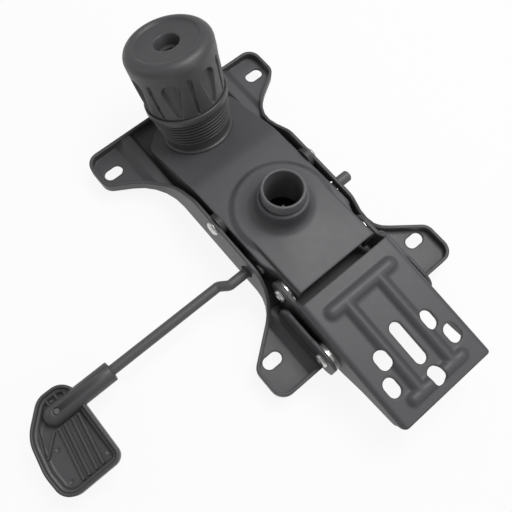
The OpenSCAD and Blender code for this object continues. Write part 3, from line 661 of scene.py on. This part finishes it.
# The ceiling inside the skirt, and the pocket for the nut over it
CEILING, POCKET_R, POCKET_TOP = 48.65, 14.05, 60.8
# Rows of points down the side, steps round it for each wide recess, the least radius there,
# and the heights that it is cut between
SIDE_ROWS, RECESS_STEPS, SIDE_R = 84, 56, 29.6
SIDE_LOW, SIDE_HIGH = KNOB_SKIRT + 1, KNOB_TOP - 8
# Foot, top and the radius at each of them, of the wide recesses and of the grooves between
WIDE_RECESS = (40.0, 72.0, 2.2, 7.0)
GROOVE, GROOVE_DEPTH = (39.0, 72.0, 1.3, 2.4), 1.9
# Share of its depth that a wide recess has at its foot, and the heights between which it deepens
FOOT_SHARE, DEEPENING = 0.4, (41.0, 66.0)
# Width over which the recesses and the grooves sink in
RECESS_EDGE, GROOVE_EDGE = 1.5, 1.2

# Sizes of the boot and the spring in mm, along the knob's axis

# Heights that the folds fill, the radius of their tips near the foot, and how far they widen
BOOT_FOLDS = (9.0, 31.7)
FOLD_R, FOLD_SPREAD = 28.6, 3.6
# Foot and collar as (radius, height) points, with the inside of each
BOOT_FOOT = (
    (25.8, 0.12), (28.6, 0.12), (29.2, 0.5), (29.2, 1.6), (28.8, 2.1), (27.2, 2.5), (27.1, 5.0),
)
FOOT_INSIDE = ((25.8, 6.0), (25.8, 8.8))
COLLAR = (
    (30.6, 31.8), (32.4, 32.2), (33.0, 32.7), (33.3, 33.5), (33.3, 37.6), (33.1, 38.2),
    (32.6, 38.6), (32.0, 38.6), (31.7, 38.3),
)
COLLAR_INSIDE = ((29.2, 32.1), (29.4, 32.9), (31.6, 33.0), (31.7, 33.5))
# One fold outside and inside: how far within its tip, and how far up its pitch as a share
FOLD_SECTION = (
    (2.2, 0), (2.1, 0.16), (0.5, 0.28), (0.1, 0.38), (0, 0.52), (0.12, 0.66), (0.5, 0.76),
    (2.1, 0.88),
)
FOLD_INSIDE = ((3.1, 0.1), (1.5, 0.5))
# Heights along the knob's axis of two points that the boot's operator works out and then leaves unused
BOOT_BLEND = (4.0, 31.5)
SPRING_CURLS, SPRING_WIRE, SPRING_R = 5.0, 6.0, 20.0
# Height of the spring's seat, the room over it, and what is left free of that at each end
SPRING_FOOT, SPRING_LENGTH, SPRING_PLAY = 1.8, 42.2, 0.3
# Curls that lie on their neighbour at each end, the pitch there, and steps round each curl
DEAD_CURLS, CLOSED_PITCH, CURL_STEPS = 0.75, 6.5, 48
# Heights along the knob's axis of two points that the spring's operator works out and then leaves unused
SPRING_BLEND = (3.0, 44.0)

# Sizes of the lever and the paddle in mm, axes as (y, z)

ROD_AXIS, HANDLE_AXIS = (39.0, 20.0), (33.0, 15.0)
ROD_R = 4.0
# Places across of the crank's two ends
CRANK = (64.5, 73.5)
# The paddle's outline in plan as (x, y, radius)
PADDLE_CORNERS = (
    (197, 16, 13), (221, 16, 14), (240.5, 35, 28), (245.2, 62, 40), (243.5, 86.5, 13),
    (197, 86.5, 8),
)
# The tray's section from its underside over the rim and the ledge: inset from the outline, height
TRAY_SECTION = (
    (3.0, 9.5), (0.9, 9.5), (0.3, 9.9), (0.0, 10.8), (0.0, 16.6), (0.25, 17.5), (0.9, 18.0),
    (1.7, 18.0), (2.3, 17.6), (2.6, 16.8), (2.8, 15.6), (3.1, 15.3), (4.2, 15.2), (4.7, 14.9),
    (5.0, 14.2), (5.6, 12.9), (6.4, 12.2), (7.6, 12.0),
)
# Height from which ribs, webs and marks rise, just inside the tray's floor
TRAY_FLOOR = 11.9
# Places across of the sleeve's two ends, and its radius
SLEEVE, SLEEVE_R = (169.5, 225.5), 7.8
# The sleeve's bore, its closed end's thickness, and the radius that its round end starts with
BORE_R, SLEEVE_CAP, TIP_R = 4.1, 4.0, 0.05
# The sleeve's open end from its bore to its outside: radius and distance from the end
SLEEVE_MOUTH = (
    (4.1, 6), (5.3, 5.6), (5.6, 0.6), (5.9, 0.1), (6.6, 0), (7.5, 0.2), (7.8, 0.8),
)
SCREW, SCREW_HOLE_R, SCREW_HOLE_FLOOR = (214.0, 33.0), 2.5, 20.6
# Places across of the slanting ribs, the y of their middle, and half their length
PADDLE_RIBS, RIBS_Y, RIB_REACH = (207.4, 212.6, 218.6, 223.4), 61.0, 19.5
RIB_TURN = math.radians(9)
RIB_WIDTH, RIB_TOP, WEB_WIDTH, DRAFT = 1.7, 14.6, 1.6, 0.25
# Webs as their two ends and the height of their top
WEBS = (
    ((224.2, 41.5), (238.0, 54.5), 14.6), ((230.2, 26.5), (238.0, 50.1), 14.9),
    ((201.0, 31.0), (222.0, 31.0), 14.0), ((204.0, 20.6), (204.0, 30.0), 14.8),
    ((210.0, 20.0), (210.0, 30.0), 14.8), ((217.0, 20.6), (217.0, 30.0), 14.8),
)
EJECTOR_MARKS = ((233.8, 75.9), (203.9, 76.2), (229.4, 52.8), (213.5, 22.5))
MARK_SECTION = ((0.02, 11.9), (2.1, 11.9), (2.1, 12.5), (1.5, 12.5), (1.2, 12.2), (0.02, 12.2))


# Pieces


class TILT_OT_sheets(Operator):
    """Coat the pressed sheets and break their edges"""

    bl_idname = "tilt.sheets"
    bl_label = "Pressed sheets"

    def execute(self, context):
        for node in SHEETS:
            dress(node, "coat", context.scene.tilt_finish.edge_width / MM)
        dress("gas_lift_collar", "socket", SOCKET_EDGE)
        return {"FINISHED"}


class TILT_OT_fasteners(Operator):
    """Plate the rivets, spacers, clips and washers and coat the bars"""

    bl_idname = "tilt.fasteners"
    bl_label = "Fasteners and bars"

    def execute(self, context):
        for node in BRIGHT_PIECES:
            dress(node, "zinc", BRIGHT_EDGE)
        for node, finish, edge_mm in OTHER_PIECES:
            dress(node, finish, edge_mm)
        return {"FINISHED"}


def recess_shape(across, height, foot, top, foot_r, top_r):
    """Signed distance in mm to an outline with a small round foot and a large round top."""
    length = top - top_r - foot - foot_r
    across, along = abs(across), height - foot - foot_r
    lean = (foot_r - top_r) / length
    rise = math.sqrt(1 - lean * lean)
    share = along * rise - across * lean
    if share < 0:
        return math.hypot(across, along) - foot_r
    if share > rise * length:
        return math.hypot(across, along - length) - top_r
    return across * rise + along * lean - foot_r


def knob_profile():
    """Closed profile of the knob from its hole over the face, rim and side to the inside."""
    face = KNOB_TOP - FACE_SUNK
    outer = [(FACE_HOLE_R, HOLE_FLOOR), (FACE_HOLE_R, face - 0.7), (10.3, face - 0.1)]
    outer += [(11.1, face), (23.4, face), (24.2, face + 0.1), (24.8, face + 0.6)]
    outer += [(25.1, face + 1.2), (25.6, face + 1.6), (26.4, KNOB_TOP)]
    outer += arc_points((RIM_CENTRE_R, KNOB_TOP - RIM_R), RIM_R, 88, 4, 16)
    side_r, side_h = outer[-1]
    for i in range(1, SIDE_ROWS + 1):
        h = side_h + (SIDE_LOW - side_h) * i / SIDE_ROWS
        share = (h - KNOB_SKIRT) / (side_h - KNOB_SKIRT)
        bulge = KNOB_BULGE * math.sin(math.pi * share)
        outer.append((KNOB_FOOT_R + (side_r - KNOB_FOOT_R) * share + bulge, h))
    outer += [(30.6, KNOB_SKIRT + 0.15), (30.1, KNOB_SKIRT)]
    inner = [(29.2, KNOB_SKIRT), (28.9, KNOB_SKIRT + 0.4), (27.6, CEILING - 0.65)]
    inner += [(25.0, CEILING), (POCKET_R + 0.15, CEILING), (POCKET_R, CEILING + 0.35)]
    inner += [(POCKET_R, POCKET_TOP), (BOLT_HOLE_R, POCKET_TOP), (BOLT_HOLE_R, HOLE_FLOOR)]
    return outer + inner


class TILT_OT_knob(Operator):
    """Mould the tension knob with its sunk face, round rim, wide recesses and grooves"""

    bl_idname = "tilt.knob"
    bl_label = "Tension knob"

    def execute(self, context):
        settings = context.scene.tilt_knob
        period = 2 * math.pi / settings.recesses
        depth = settings.recess_depth / MM

        def radius_at(r, h, angle):
            """The radius of a point of the knob, less where a recess or a groove cuts its side."""
            if r < SIDE_R or not SIDE_LOW < h < SIDE_HIGH:
                return r
            local = (angle + period / 2) % period - period / 2
            wide = recess_shape(r * local, h, *WIDE_RECESS)
            deep = depth * (FOOT_SHARE + (1 - FOOT_SHARE) * smoothstep(*DEEPENING, h))
            between = (angle % period) - period / 2
            narrow = recess_shape(r * between, h, *GROOVE)
            cut = deep * smoothstep(0.0, RECESS_EDGE, -wide)
            return r - cut - GROOVE_DEPTH * smoothstep(0.0, GROOVE_EDGE, -narrow)

        segments = RECESS_STEPS * settings.recesses
        vertices, faces = lathe(knob_profile(), segments, KNOB_FRAME, radius_at)
        knob = new_piece("knob_grip", vertices, faces, finishes()["knob"], sharp_degrees=55)
        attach(knob, "knob")
        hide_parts("tension_knob")
        return {"FINISHED"}


def boot_profile(ribs):
    """Closed profile of the boot: foot, soft ribs that widen upwards, collar and inside."""
    low, high = BOOT_FOLDS
    pitch = (high - low) / ribs
    outer, inner = [*BOOT_FOOT, (BOOT_FOOT[-1][0], low)], list(FOOT_INSIDE)
    for i in range(ribs):
        base = low + i * pitch
        tip = FOLD_R + FOLD_SPREAD * (i + 0.5) / ribs
        outer += [(tip - within, base + share * pitch) for within, share in FOLD_SECTION]
        inner += [(tip - within, base + share * pitch) for within, share in FOLD_INSIDE]
    outer += COLLAR
    inner += COLLAR_INSIDE
    return outer + inner[::-1]


class TILT_OT_boot(Operator):
    """Mould the ribbed boot between the housing and the knob"""

    bl_idname = "tilt.boot"
    bl_label = "Ribbed boot"

    def execute(self, context):
        profile = boot_profile(context.scene.tilt_knob.boot_ribs)
        vertices, faces = lathe(profile, segments=144, matrix=KNOB_FRAME)
        boot = new_piece("ribbed_boot", vertices, faces, finishes()["boot"], sharp_degrees=50)
        start, end = (KNOB_FRAME @ Vector((0, 0, h * MM)) for h in BOOT_BLEND)
        tuple(start)
        tuple(end)
        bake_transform(boot)
        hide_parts("spring_boot")
        return {"FINISHED"}


class TILT_OT_spring(Operator):
    """Wind the tension spring, close wound at both ends"""

    bl_idname = "tilt.spring"
    bl_label = "Tension spring"

    def execute(self, context):
        free_curls = SPRING_CURLS - 2 * DEAD_CURLS
        closed = 2 * DEAD_CURLS * CLOSED_PITCH
        free = SPRING_LENGTH - SPRING_WIRE - 2 * SPRING_PLAY - closed
        steps = int(SPRING_CURLS * CURL_STEPS)
        points = []
        for i in range(steps + 1):
            u = SPRING_CURLS * i / steps
            opened = max(0.0, min(free_curls, u - DEAD_CURLS))
            rise = min(u, DEAD_CURLS) * CLOSED_PITCH + opened * free / free_curls
            rise += max(0.0, u - SPRING_CURLS + DEAD_CURLS) * CLOSED_PITCH
            height = SPRING_FOOT + SPRING_PLAY + SPRING_WIRE / 2 + rise
            x, y = (SPRING_R * turn(2 * math.pi * u) for turn in (math.cos, math.sin))
            points.append(Vector((x, y, height)))
        vertices, faces = tube(points, SPRING_WIRE / 2, sides=16, matrix=KNOB_FRAME)
        spring = new_piece("wound_spring", vertices, faces, finishes()["spring"], sharp_degrees=60)
        start, end = (KNOB_FRAME @ Vector((0, 0, h * MM)) for h in SPRING_BLEND)
        tuple(start)
        tuple(end)
        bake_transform(spring)
        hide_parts("tension_spring")
        return {"FINISHED"}


def bracket_place(across, along, depth):
    """A point of the bracket's own frame, in mm, as a point of the object in metres."""
    level, fall = math.cos(BRACKET_LEAN), math.sin(BRACKET_LEAN)
    y = BRACKET_FRONT[0] + along * level - depth * fall
    z = BRACKET_FRONT[1] - along * fall - depth * level
    return Vector((across, y, z)) * MM


def bracket_local(y, z):
    """A point of the side view as its place along the bracket's sheet and its depth under it."""
    level, fall = math.cos(BRACKET_LEAN), math.sin(BRACKET_LEAN)
    dy, dz = y - BRACKET_FRONT[0], z - BRACKET_FRONT[1]
    return dy * level - dz * fall, -dy * fall - dz * level


def rib_height(across, along):
    """Height of the pressed ribs: two bars across, joined by two along."""
    across = abs(across)
    beyond = max(0, RIB_FRONT - along, along - RIB_REAR)
    nearest = min(1.0, math.hypot(across - RIB_SIDE, beyond) / RIB_HALF_WIDTH)
    for place, reach, half in CROSS_RIBS:
        away = math.hypot(max(0, across - reach), along - place) / half
        nearest = min(nearest, away)
    return RIB_HEIGHT * (1 - nearest * nearest) * smoothstep(1.0, RIB_FOOT, nearest)


class TILT_OT_bracket(Operator):
    """Press the backrest bracket: a flat pattern with slots, folded, with soft ribs"""

    bl_idname = "tilt.bracket"
    bl_label = "Backrest bracket"

    def execute(self, context):
        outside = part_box("backrest_bracket")[1][0] / MM
        flat = outside - BEND
        arc = BEND * math.pi / 2

        def unfolded(depth):
            """Place across the flat pattern of what lies that deep on the side wall."""
            return flat + arc + depth - BEND

        def fold(u, v, sunk):
            """The folded place of a point of the flat pattern, sunk into the sheet."""
            side, u = math.copysign(1, u), abs(u)
            if u <= flat:
                return bracket_place(side * u, v, sunk - rib_height(u, v))
            if u <= flat + arc:
                turn = (u - flat) / BEND
                across = flat + (BEND - sunk) * math.sin(turn)
                return bracket_place(side * across, v, BEND - (BEND - sunk) * math.cos(turn))
            return bracket_place(side * (outside - sunk), v, BEND + u - flat - arc)

        half = [(flat + FRONT_CORNER * arc, 0, 0)]
        for y, z, radius in ARM_CORNERS:
            along, depth = bracket_local(y, z)
            half.append((unfolded(depth), along, radius))
        for depth, radius in WALL_ENDS:
            half.append((unfolded(depth), BRACKET_LENGTH - WALL_SHORT, radius))
        past, radius = REAR_CORNER
        half.append((flat + past, BRACKET_LENGTH, radius))
        mirror = [(-u, v, r) for u, v, r in reversed(half)]
        rings = [rounded(half + mirror)]
        pairs = [(across, along, *PAIR_SLOT) for across, along in SLOT_PAIRS]
        middles = [(0, along, length, width) for along, length, width in MIDDLE_SLOTS]
        pivots = []
        for place, hole in ((BRACKET_PIVOT, PIVOT_HOLE), (EAR_PIVOT, EAR_HOLE)):
            along, depth = bracket_local(*place)
            pivots.append((unfolded(depth), along, hole, hole))
        for slots, sides in ((pairs, (-1, 1)), (middles, (1,)), (pivots, (-1, 1))):
            for across, along, length, width in slots:
                rings += [slot_ring((side * across, along), length, width) for side in sides]
        step = context.scene.tilt_finish.sheet_step / MM
        coat = finishes()["coat"]
        bracket = folded_sheet("pressed_bracket", rings, fold, BRACKET_THICKNESS, step, coat)
        round_edges(bracket, width_mm=0.4, degrees=60)
        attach(bracket, "bracket")
        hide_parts("backrest_bracket")
        return {"FINISHED"}


def lever_centre(x):
    """Centre of the bent bar at a place across the object, in mm."""
    share = smoothstep(CRANK[0], CRANK[1], x)
    return Vector((x, *(a + (b - a) * share for a, b in zip(ROD_AXIS, HANDLE_AXIS))))


class TILT_OT_lever(Operator):
    """Bend the bar of the height lever with its tight crank"""

    bl_idname = "tilt.lever"
    bl_label = "Lever bar"

    def execute(self, context):
        low, high = (corner[0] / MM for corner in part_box("lever_rod"))
        places = [low, low + 0.5, low + 1]
        for start, end, count in ((low + 1, CRANK[0], 12), (*CRANK, 28), (CRANK[1], high, 16)):
            places += [start + (end - start) * i / count for i in range(1, count + 1)]
        line = [lever_centre(x) for x in places]
        vertices, faces = tube(line, ROD_R, sides=32, matrix=Matrix())
        bar = new_piece("lever_bar", vertices, faces, finishes()["bar"])
        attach(bar, "lever")
        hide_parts("lever_rod")
        return {"FINISHED"}


def inset_ring(inset):
    """The paddle's outline moved inwards, always with the same number of points."""
    made = []
    for i, (_, _, radius) in enumerate(PADDLE_CORNERS):
        centre, start, turn = corner_arc(PADDLE_CORNERS, i)
        shrunk = start * max(SMALLEST_R, radius - inset) / radius
        made += swept(centre, shrunk, turn, CORNER_POINTS)
    return made


def moulded_rib(start, end, width, top):
    """A rib on the tray's floor between two points, its sides drafted."""
    start, end = Vector(start), Vector(end)
    along = (end - start).normalized()
    side = Vector((-along.y, along.x))
    vertices = []
    for z, half in ((TRAY_FLOOR, width / 2 + DRAFT), (top, width / 2)):
        for point, sign in ((start, 1), (end, 1), (end, -1), (start, -1)):
            vertices.append(Vector((*(point + side * half * sign), z)) * MM)
    faces = [(0, 3, 2, 1), (4, 5, 6, 7)]
    faces += [(i, (i + 1) % 4, 4 + (i + 1) % 4, 4 + i) for i in range(4)]
    return vertices, faces


def joined(parts):
    """Several sets of vertices and faces as one."""
    vertices, faces = [], []
    for more, more_faces in parts:
        first = len(vertices)
        vertices += more
        faces += [tuple(first + i for i in face) for face in more_faces]
    return vertices, faces


def paddle_shell():
    """The tray of the paddle: floor, sloping wall, ledge and round rim."""
    vertices = []
    for inset, z in TRAY_SECTION:
        ring = inset_ring(inset)
        vertices += [Vector((*p, z)) * MM for p in ring]
    count = len(ring)
    last = len(vertices) - count
    faces = []
    for level in range(0, last, count):
        for i in range(count):
            a, b = level + i, level + (i + 1) % count
            faces.append((a, b, b + count, a + count))
    faces.append(tuple(range(count)))
    faces.append(tuple(range(last, last + count)))
    return vertices, faces


def upright_at(place):
    """The matrix that sets a turned shape upright at a place in mm in the plane of the seat."""
    return Matrix.Translation(Vector((*place, 0)) * MM)


class TILT_OT_paddle(Operator):
    """Mould the hand paddle: tray with a double rim, slanted ribs, webs and a sleeve"""

    bl_idname = "tilt.paddle"
    bl_label = "Hand paddle"

    def execute(self, context):
        self.sleeve()
        parts = [paddle_shell()]
        reach = Vector((math.sin(RIB_TURN), math.cos(RIB_TURN))) * RIB_REACH
        for x in PADDLE_RIBS:
            centre = Vector((x, RIBS_Y))
            parts.append(moulded_rib(centre - reach, centre + reach, RIB_WIDTH, RIB_TOP))
        for start, end, top in WEBS:
            parts.append(moulded_rib(start, end, WEB_WIDTH, top))
        for spot in EJECTOR_MARKS:
            parts.append(lathe(MARK_SECTION, segments=24, matrix=upright_at(spot)))
        paddle = new_piece("hand_paddle", *joined(parts), finishes()["knob"], sharp_degrees=50)
        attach(paddle, "lever")
        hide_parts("paddle")
        return {"FINISHED"}

    def sleeve(self):
        """The sleeve round the bar, open towards the housing, with a blind hole at the screw."""
        low, high = SLEEVE
        r = SLEEVE_R
        along_x = Matrix.Translation(Vector((0, *HANDLE_AXIS)) * MM)
        along_x = along_x @ Matrix.Rotation(math.pi / 2, 4, "Y")
        profile = [(radius, low + away) for radius, away in SLEEVE_MOUTH]
        profile += arc_points((TIP_R, high - r), r - TIP_R, 0, 90, 10)
        profile += [(TIP_R, high - SLEEVE_CAP), (BORE_R, high - SLEEVE_CAP)]
        plastic = finishes()["knob"]
        shape = lathe(profile, segments=64, matrix=along_x)
        sleeve = new_piece("paddle_sleeve", *shape, plastic, sharp_degrees=50)
        above = HANDLE_AXIS[1] + 2 * r
        hole = [(0.02, SCREW_HOLE_FLOOR), (SCREW_HOLE_R, SCREW_HOLE_FLOOR)]
        hole += [(SCREW_HOLE_R, above), (0.02, above)]
        cutter = new_piece("cutter", *lathe(hole, segments=40, matrix=upright_at(SCREW)), plastic)
        cut = sleeve.modifiers.new("Screw hole", "BOOLEAN")
        cut.operation = "DIFFERENCE"
        cut.solver = "EXACT"
        cut.object = cutter
        drilled = sleeve.evaluated_get(bpy.context.evaluated_depsgraph_get())
        mesh = bpy.data.meshes.new_from_object(drilled)
        sleeve.modifiers.clear()
        sleeve.data = mesh
        bpy.data.objects.remove(cutter)
        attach(sleeve, "lever")


class TILT_OT_ears(Operator):
    """Raise the upper edge of the two rear ears to the long strip that the sheet has"""

    bl_idname = "tilt.ears"
    bl_label = "Rear ears"

    def execute(self, context):
        outline = rounded([(EAR_PIVOT[0] + y, z, radius) for y, z, radius in EAR_CORNERS])
        count = len(outline)
        parts = []
        for side in (-1, 1):
            places = (side * (EAR_FACE - EAR_THICKNESS), side * EAR_FACE)
            vertices = [Vector((x, *p)) * MM for x in places for p in outline]
            faces = [tuple(range(count)), tuple(range(count, 2 * count))]
            for i in range(count):
                ahead = (i + 1) % count
                faces.append((i, ahead, count + ahead, count + i))
            parts.append((vertices, faces))
        ears = new_piece("ear_edges", *joined(parts), finishes()["coat"])
        round_edges(ears, width_mm=0.5, degrees=50)
        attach(ears, "seat")
        return {"FINISHED"}


# Stage

FLOOR_HALF, FLOOR_COLOUR, FLOOR_GLOW = 4.0, (0.82, 0.82, 0.82), 0.9
WORLD_LIGHT = 0.33
# Soft lights as name, place, size and share of the key light's power
LIGHTS = (
    ("Key softbox", (-0.36, -0.04, 1.05), 0.55, 1.0),
    ("Side softbox", (-0.45, 0.85, 0.8), 0.6, 0.25),
    ("Front softbox", (0.75, -0.85, 0.6), 0.5, 0.12),
)


def pale_surface(name, colour, glow):
    """A matt pale surface that shows close to white to the camera and still takes shadow."""
    material = bpy.data.materials.new(name)
    material.use_nodes = True
    nodes, links = material.node_tree.nodes, material.node_tree.links
    nodes.clear()
    out = nodes.new("ShaderNodeOutputMaterial")
    matt = nodes.new("ShaderNodeBsdfDiffuse")
    matt.inputs["Color"].default_value = (*colour, 1)
    lit = nodes.new("ShaderNodeEmission")
    lit.inputs["Color"].default_value = (1, 1, 1, 1)
    lit.inputs["Strength"].default_value = 1.0
    ray = nodes.new("ShaderNodeLightPath").outputs
    tree = material.node_tree
    glossy = worked_out(tree, "MAXIMUM", ray["Is Glossy Ray"], ray["Is Transmission Ray"])
    seen = worked_out(tree, "MAXIMUM", ray["Is Camera Ray"], glossy)
    mix = nodes.new("ShaderNodeMixShader")
    links.new(worked_out(tree, "MULTIPLY", seen, glow), mix.inputs[0])
    links.new(matt.outputs[0], mix.inputs[1])
    links.new(lit.outputs[0], mix.inputs[2])
    links.new(mix.outputs[0], out.inputs["Surface"])
    return material


def soft_light(name, place, aim, size, power):
    """A square area light that looks at a point."""
    data = bpy.data.lights.new(name, "AREA")
    data.shape = "SQUARE"
    data.size = size
    data.energy = power
    lamp = bpy.data.objects.new(name, data)
    lamp.location = place
    lamp.rotation_euler = (Vector(aim) - Vector(place)).to_track_quat("-Z", "Y").to_euler()
    bpy.context.scene.collection.objects.link(lamp)


def pale_world():
    """A world that lights the object softly and shows white to the camera."""
    world = bpy.data.worlds.new("Pale studio")
    world.use_nodes = True
    nodes, links = world.node_tree.nodes, world.node_tree.links
    lit = nodes["Background"]
    lit.inputs["Color"].default_value = (1, 1, 1, 1)
    lit.inputs["Strength"].default_value = WORLD_LIGHT
    white = nodes.new("ShaderNodeBackground")
    white.inputs["Color"].default_value = (1, 1, 1, 1)
    white.inputs["Strength"].default_value = 1.0
    path = nodes.new("ShaderNodeLightPath")
    mix = nodes.new("ShaderNodeMixShader")
    links.new(path.outputs["Is Camera Ray"], mix.inputs[0])
    links.new(lit.outputs[0], mix.inputs[1])
    links.new(white.outputs[0], mix.inputs[2])
    links.new(mix.outputs[0], nodes["World Output"].inputs["Surface"])
    return world


def camera_stand(settings):
    """The place and turn of the camera as one matrix."""
    a, e, roll = settings.azimuth, settings.elevation, settings.roll
    back = Vector((math.sin(a) * math.cos(e), -math.cos(a) * math.cos(e), math.sin(e)))
    level = Vector((math.cos(a), math.sin(a), 0))
    upright = back.cross(level)
    right = level * math.cos(roll) + upright * math.sin(roll)
    up = upright * math.cos(roll) - level * math.sin(roll)
    turn = Matrix((right, up, back)).transposed().to_4x4()
    return Matrix.Translation(Vector(settings.target) + back * settings.distance) @ turn


class TILT_OT_stage(Operator):
    """Lay the floor, hang the lights and set the camera"""

    bl_idname = "tilt.stage"
    bl_label = "Stage"

    def execute(self, context):
        settings = context.scene.tilt_stage
        scene = context.scene
        half, drop = FLOOR_HALF, -settings.floor_drop
        corners = [(-half, -half, drop), (half, -half, drop)]
        corners += [(half, half, drop), (-half, half, drop)]
        mesh = bpy.data.meshes.new("floor")
        mesh.from_pydata(corners, [], [(0, 1, 2, 3)])
        mesh.materials.append(pale_surface("Pale floor", FLOOR_COLOUR, FLOOR_GLOW))
        floor = bpy.data.objects.new("floor", mesh)
        scene.collection.objects.link(floor)
        scene.world = pale_world()
        for name, place, size, share in LIGHTS:
            soft_light(name, place, settings.target, size, settings.key_power * share)
        data = bpy.data.cameras.new("Camera")
        data.sensor_width = 36.0
        data.lens = settings.lens
        data.clip_start = 0.01
        camera = bpy.data.objects.new("Camera", data)
        camera.matrix_world = camera_stand(settings)
        scene.collection.objects.link(camera)
        scene.camera = camera
        scene.view_settings.view_transform = "Standard"
        return {"FINISHED"}


class TILT_PT_panel(Panel):
    """Lists the pieces and their settings"""

    bl_idname = "TILT_PT_panel"
    bl_label = "Chair tilt mechanism"
    bl_space_type = "VIEW_3D"
    bl_region_type = "UI"
    bl_category = "Tilt"

    def draw(self, context):
        layout = self.layout
        for group in (context.scene.tilt_finish, context.scene.tilt_knob, context.scene.tilt_stage):
            box = layout.box()
            for name in group.__annotations__:
                box.prop(group, name)
        for operator in OPERATORS:
            layout.operator(operator.bl_idname)


OPERATORS = (
    TILT_OT_sheets, TILT_OT_bracket, TILT_OT_ears, TILT_OT_fasteners, TILT_OT_knob,
    TILT_OT_boot, TILT_OT_spring, TILT_OT_lever, TILT_OT_paddle, TILT_OT_stage,
)
GROUPS = {"tilt_finish": TiltFinish, "tilt_knob": TiltKnob, "tilt_stage": TiltStage}


def register():
    for made in (*GROUPS.values(), *OPERATORS, TILT_PT_panel):
        bpy.utils.register_class(made)
    for name, group in GROUPS.items():
        setattr(bpy.types.Scene, name, PointerProperty(type=group))


def unregister():
    for name in GROUPS:
        delattr(bpy.types.Scene, name)
    for made in (TILT_PT_panel, *OPERATORS, *GROUPS.values()):
        bpy.utils.unregister_class(made)


def main():
    register()
    for operator in OPERATORS:
        group, name = operator.bl_idname.split(".")
        getattr(getattr(bpy.ops, group), name)()


if __name__ == "__main__":
    main()
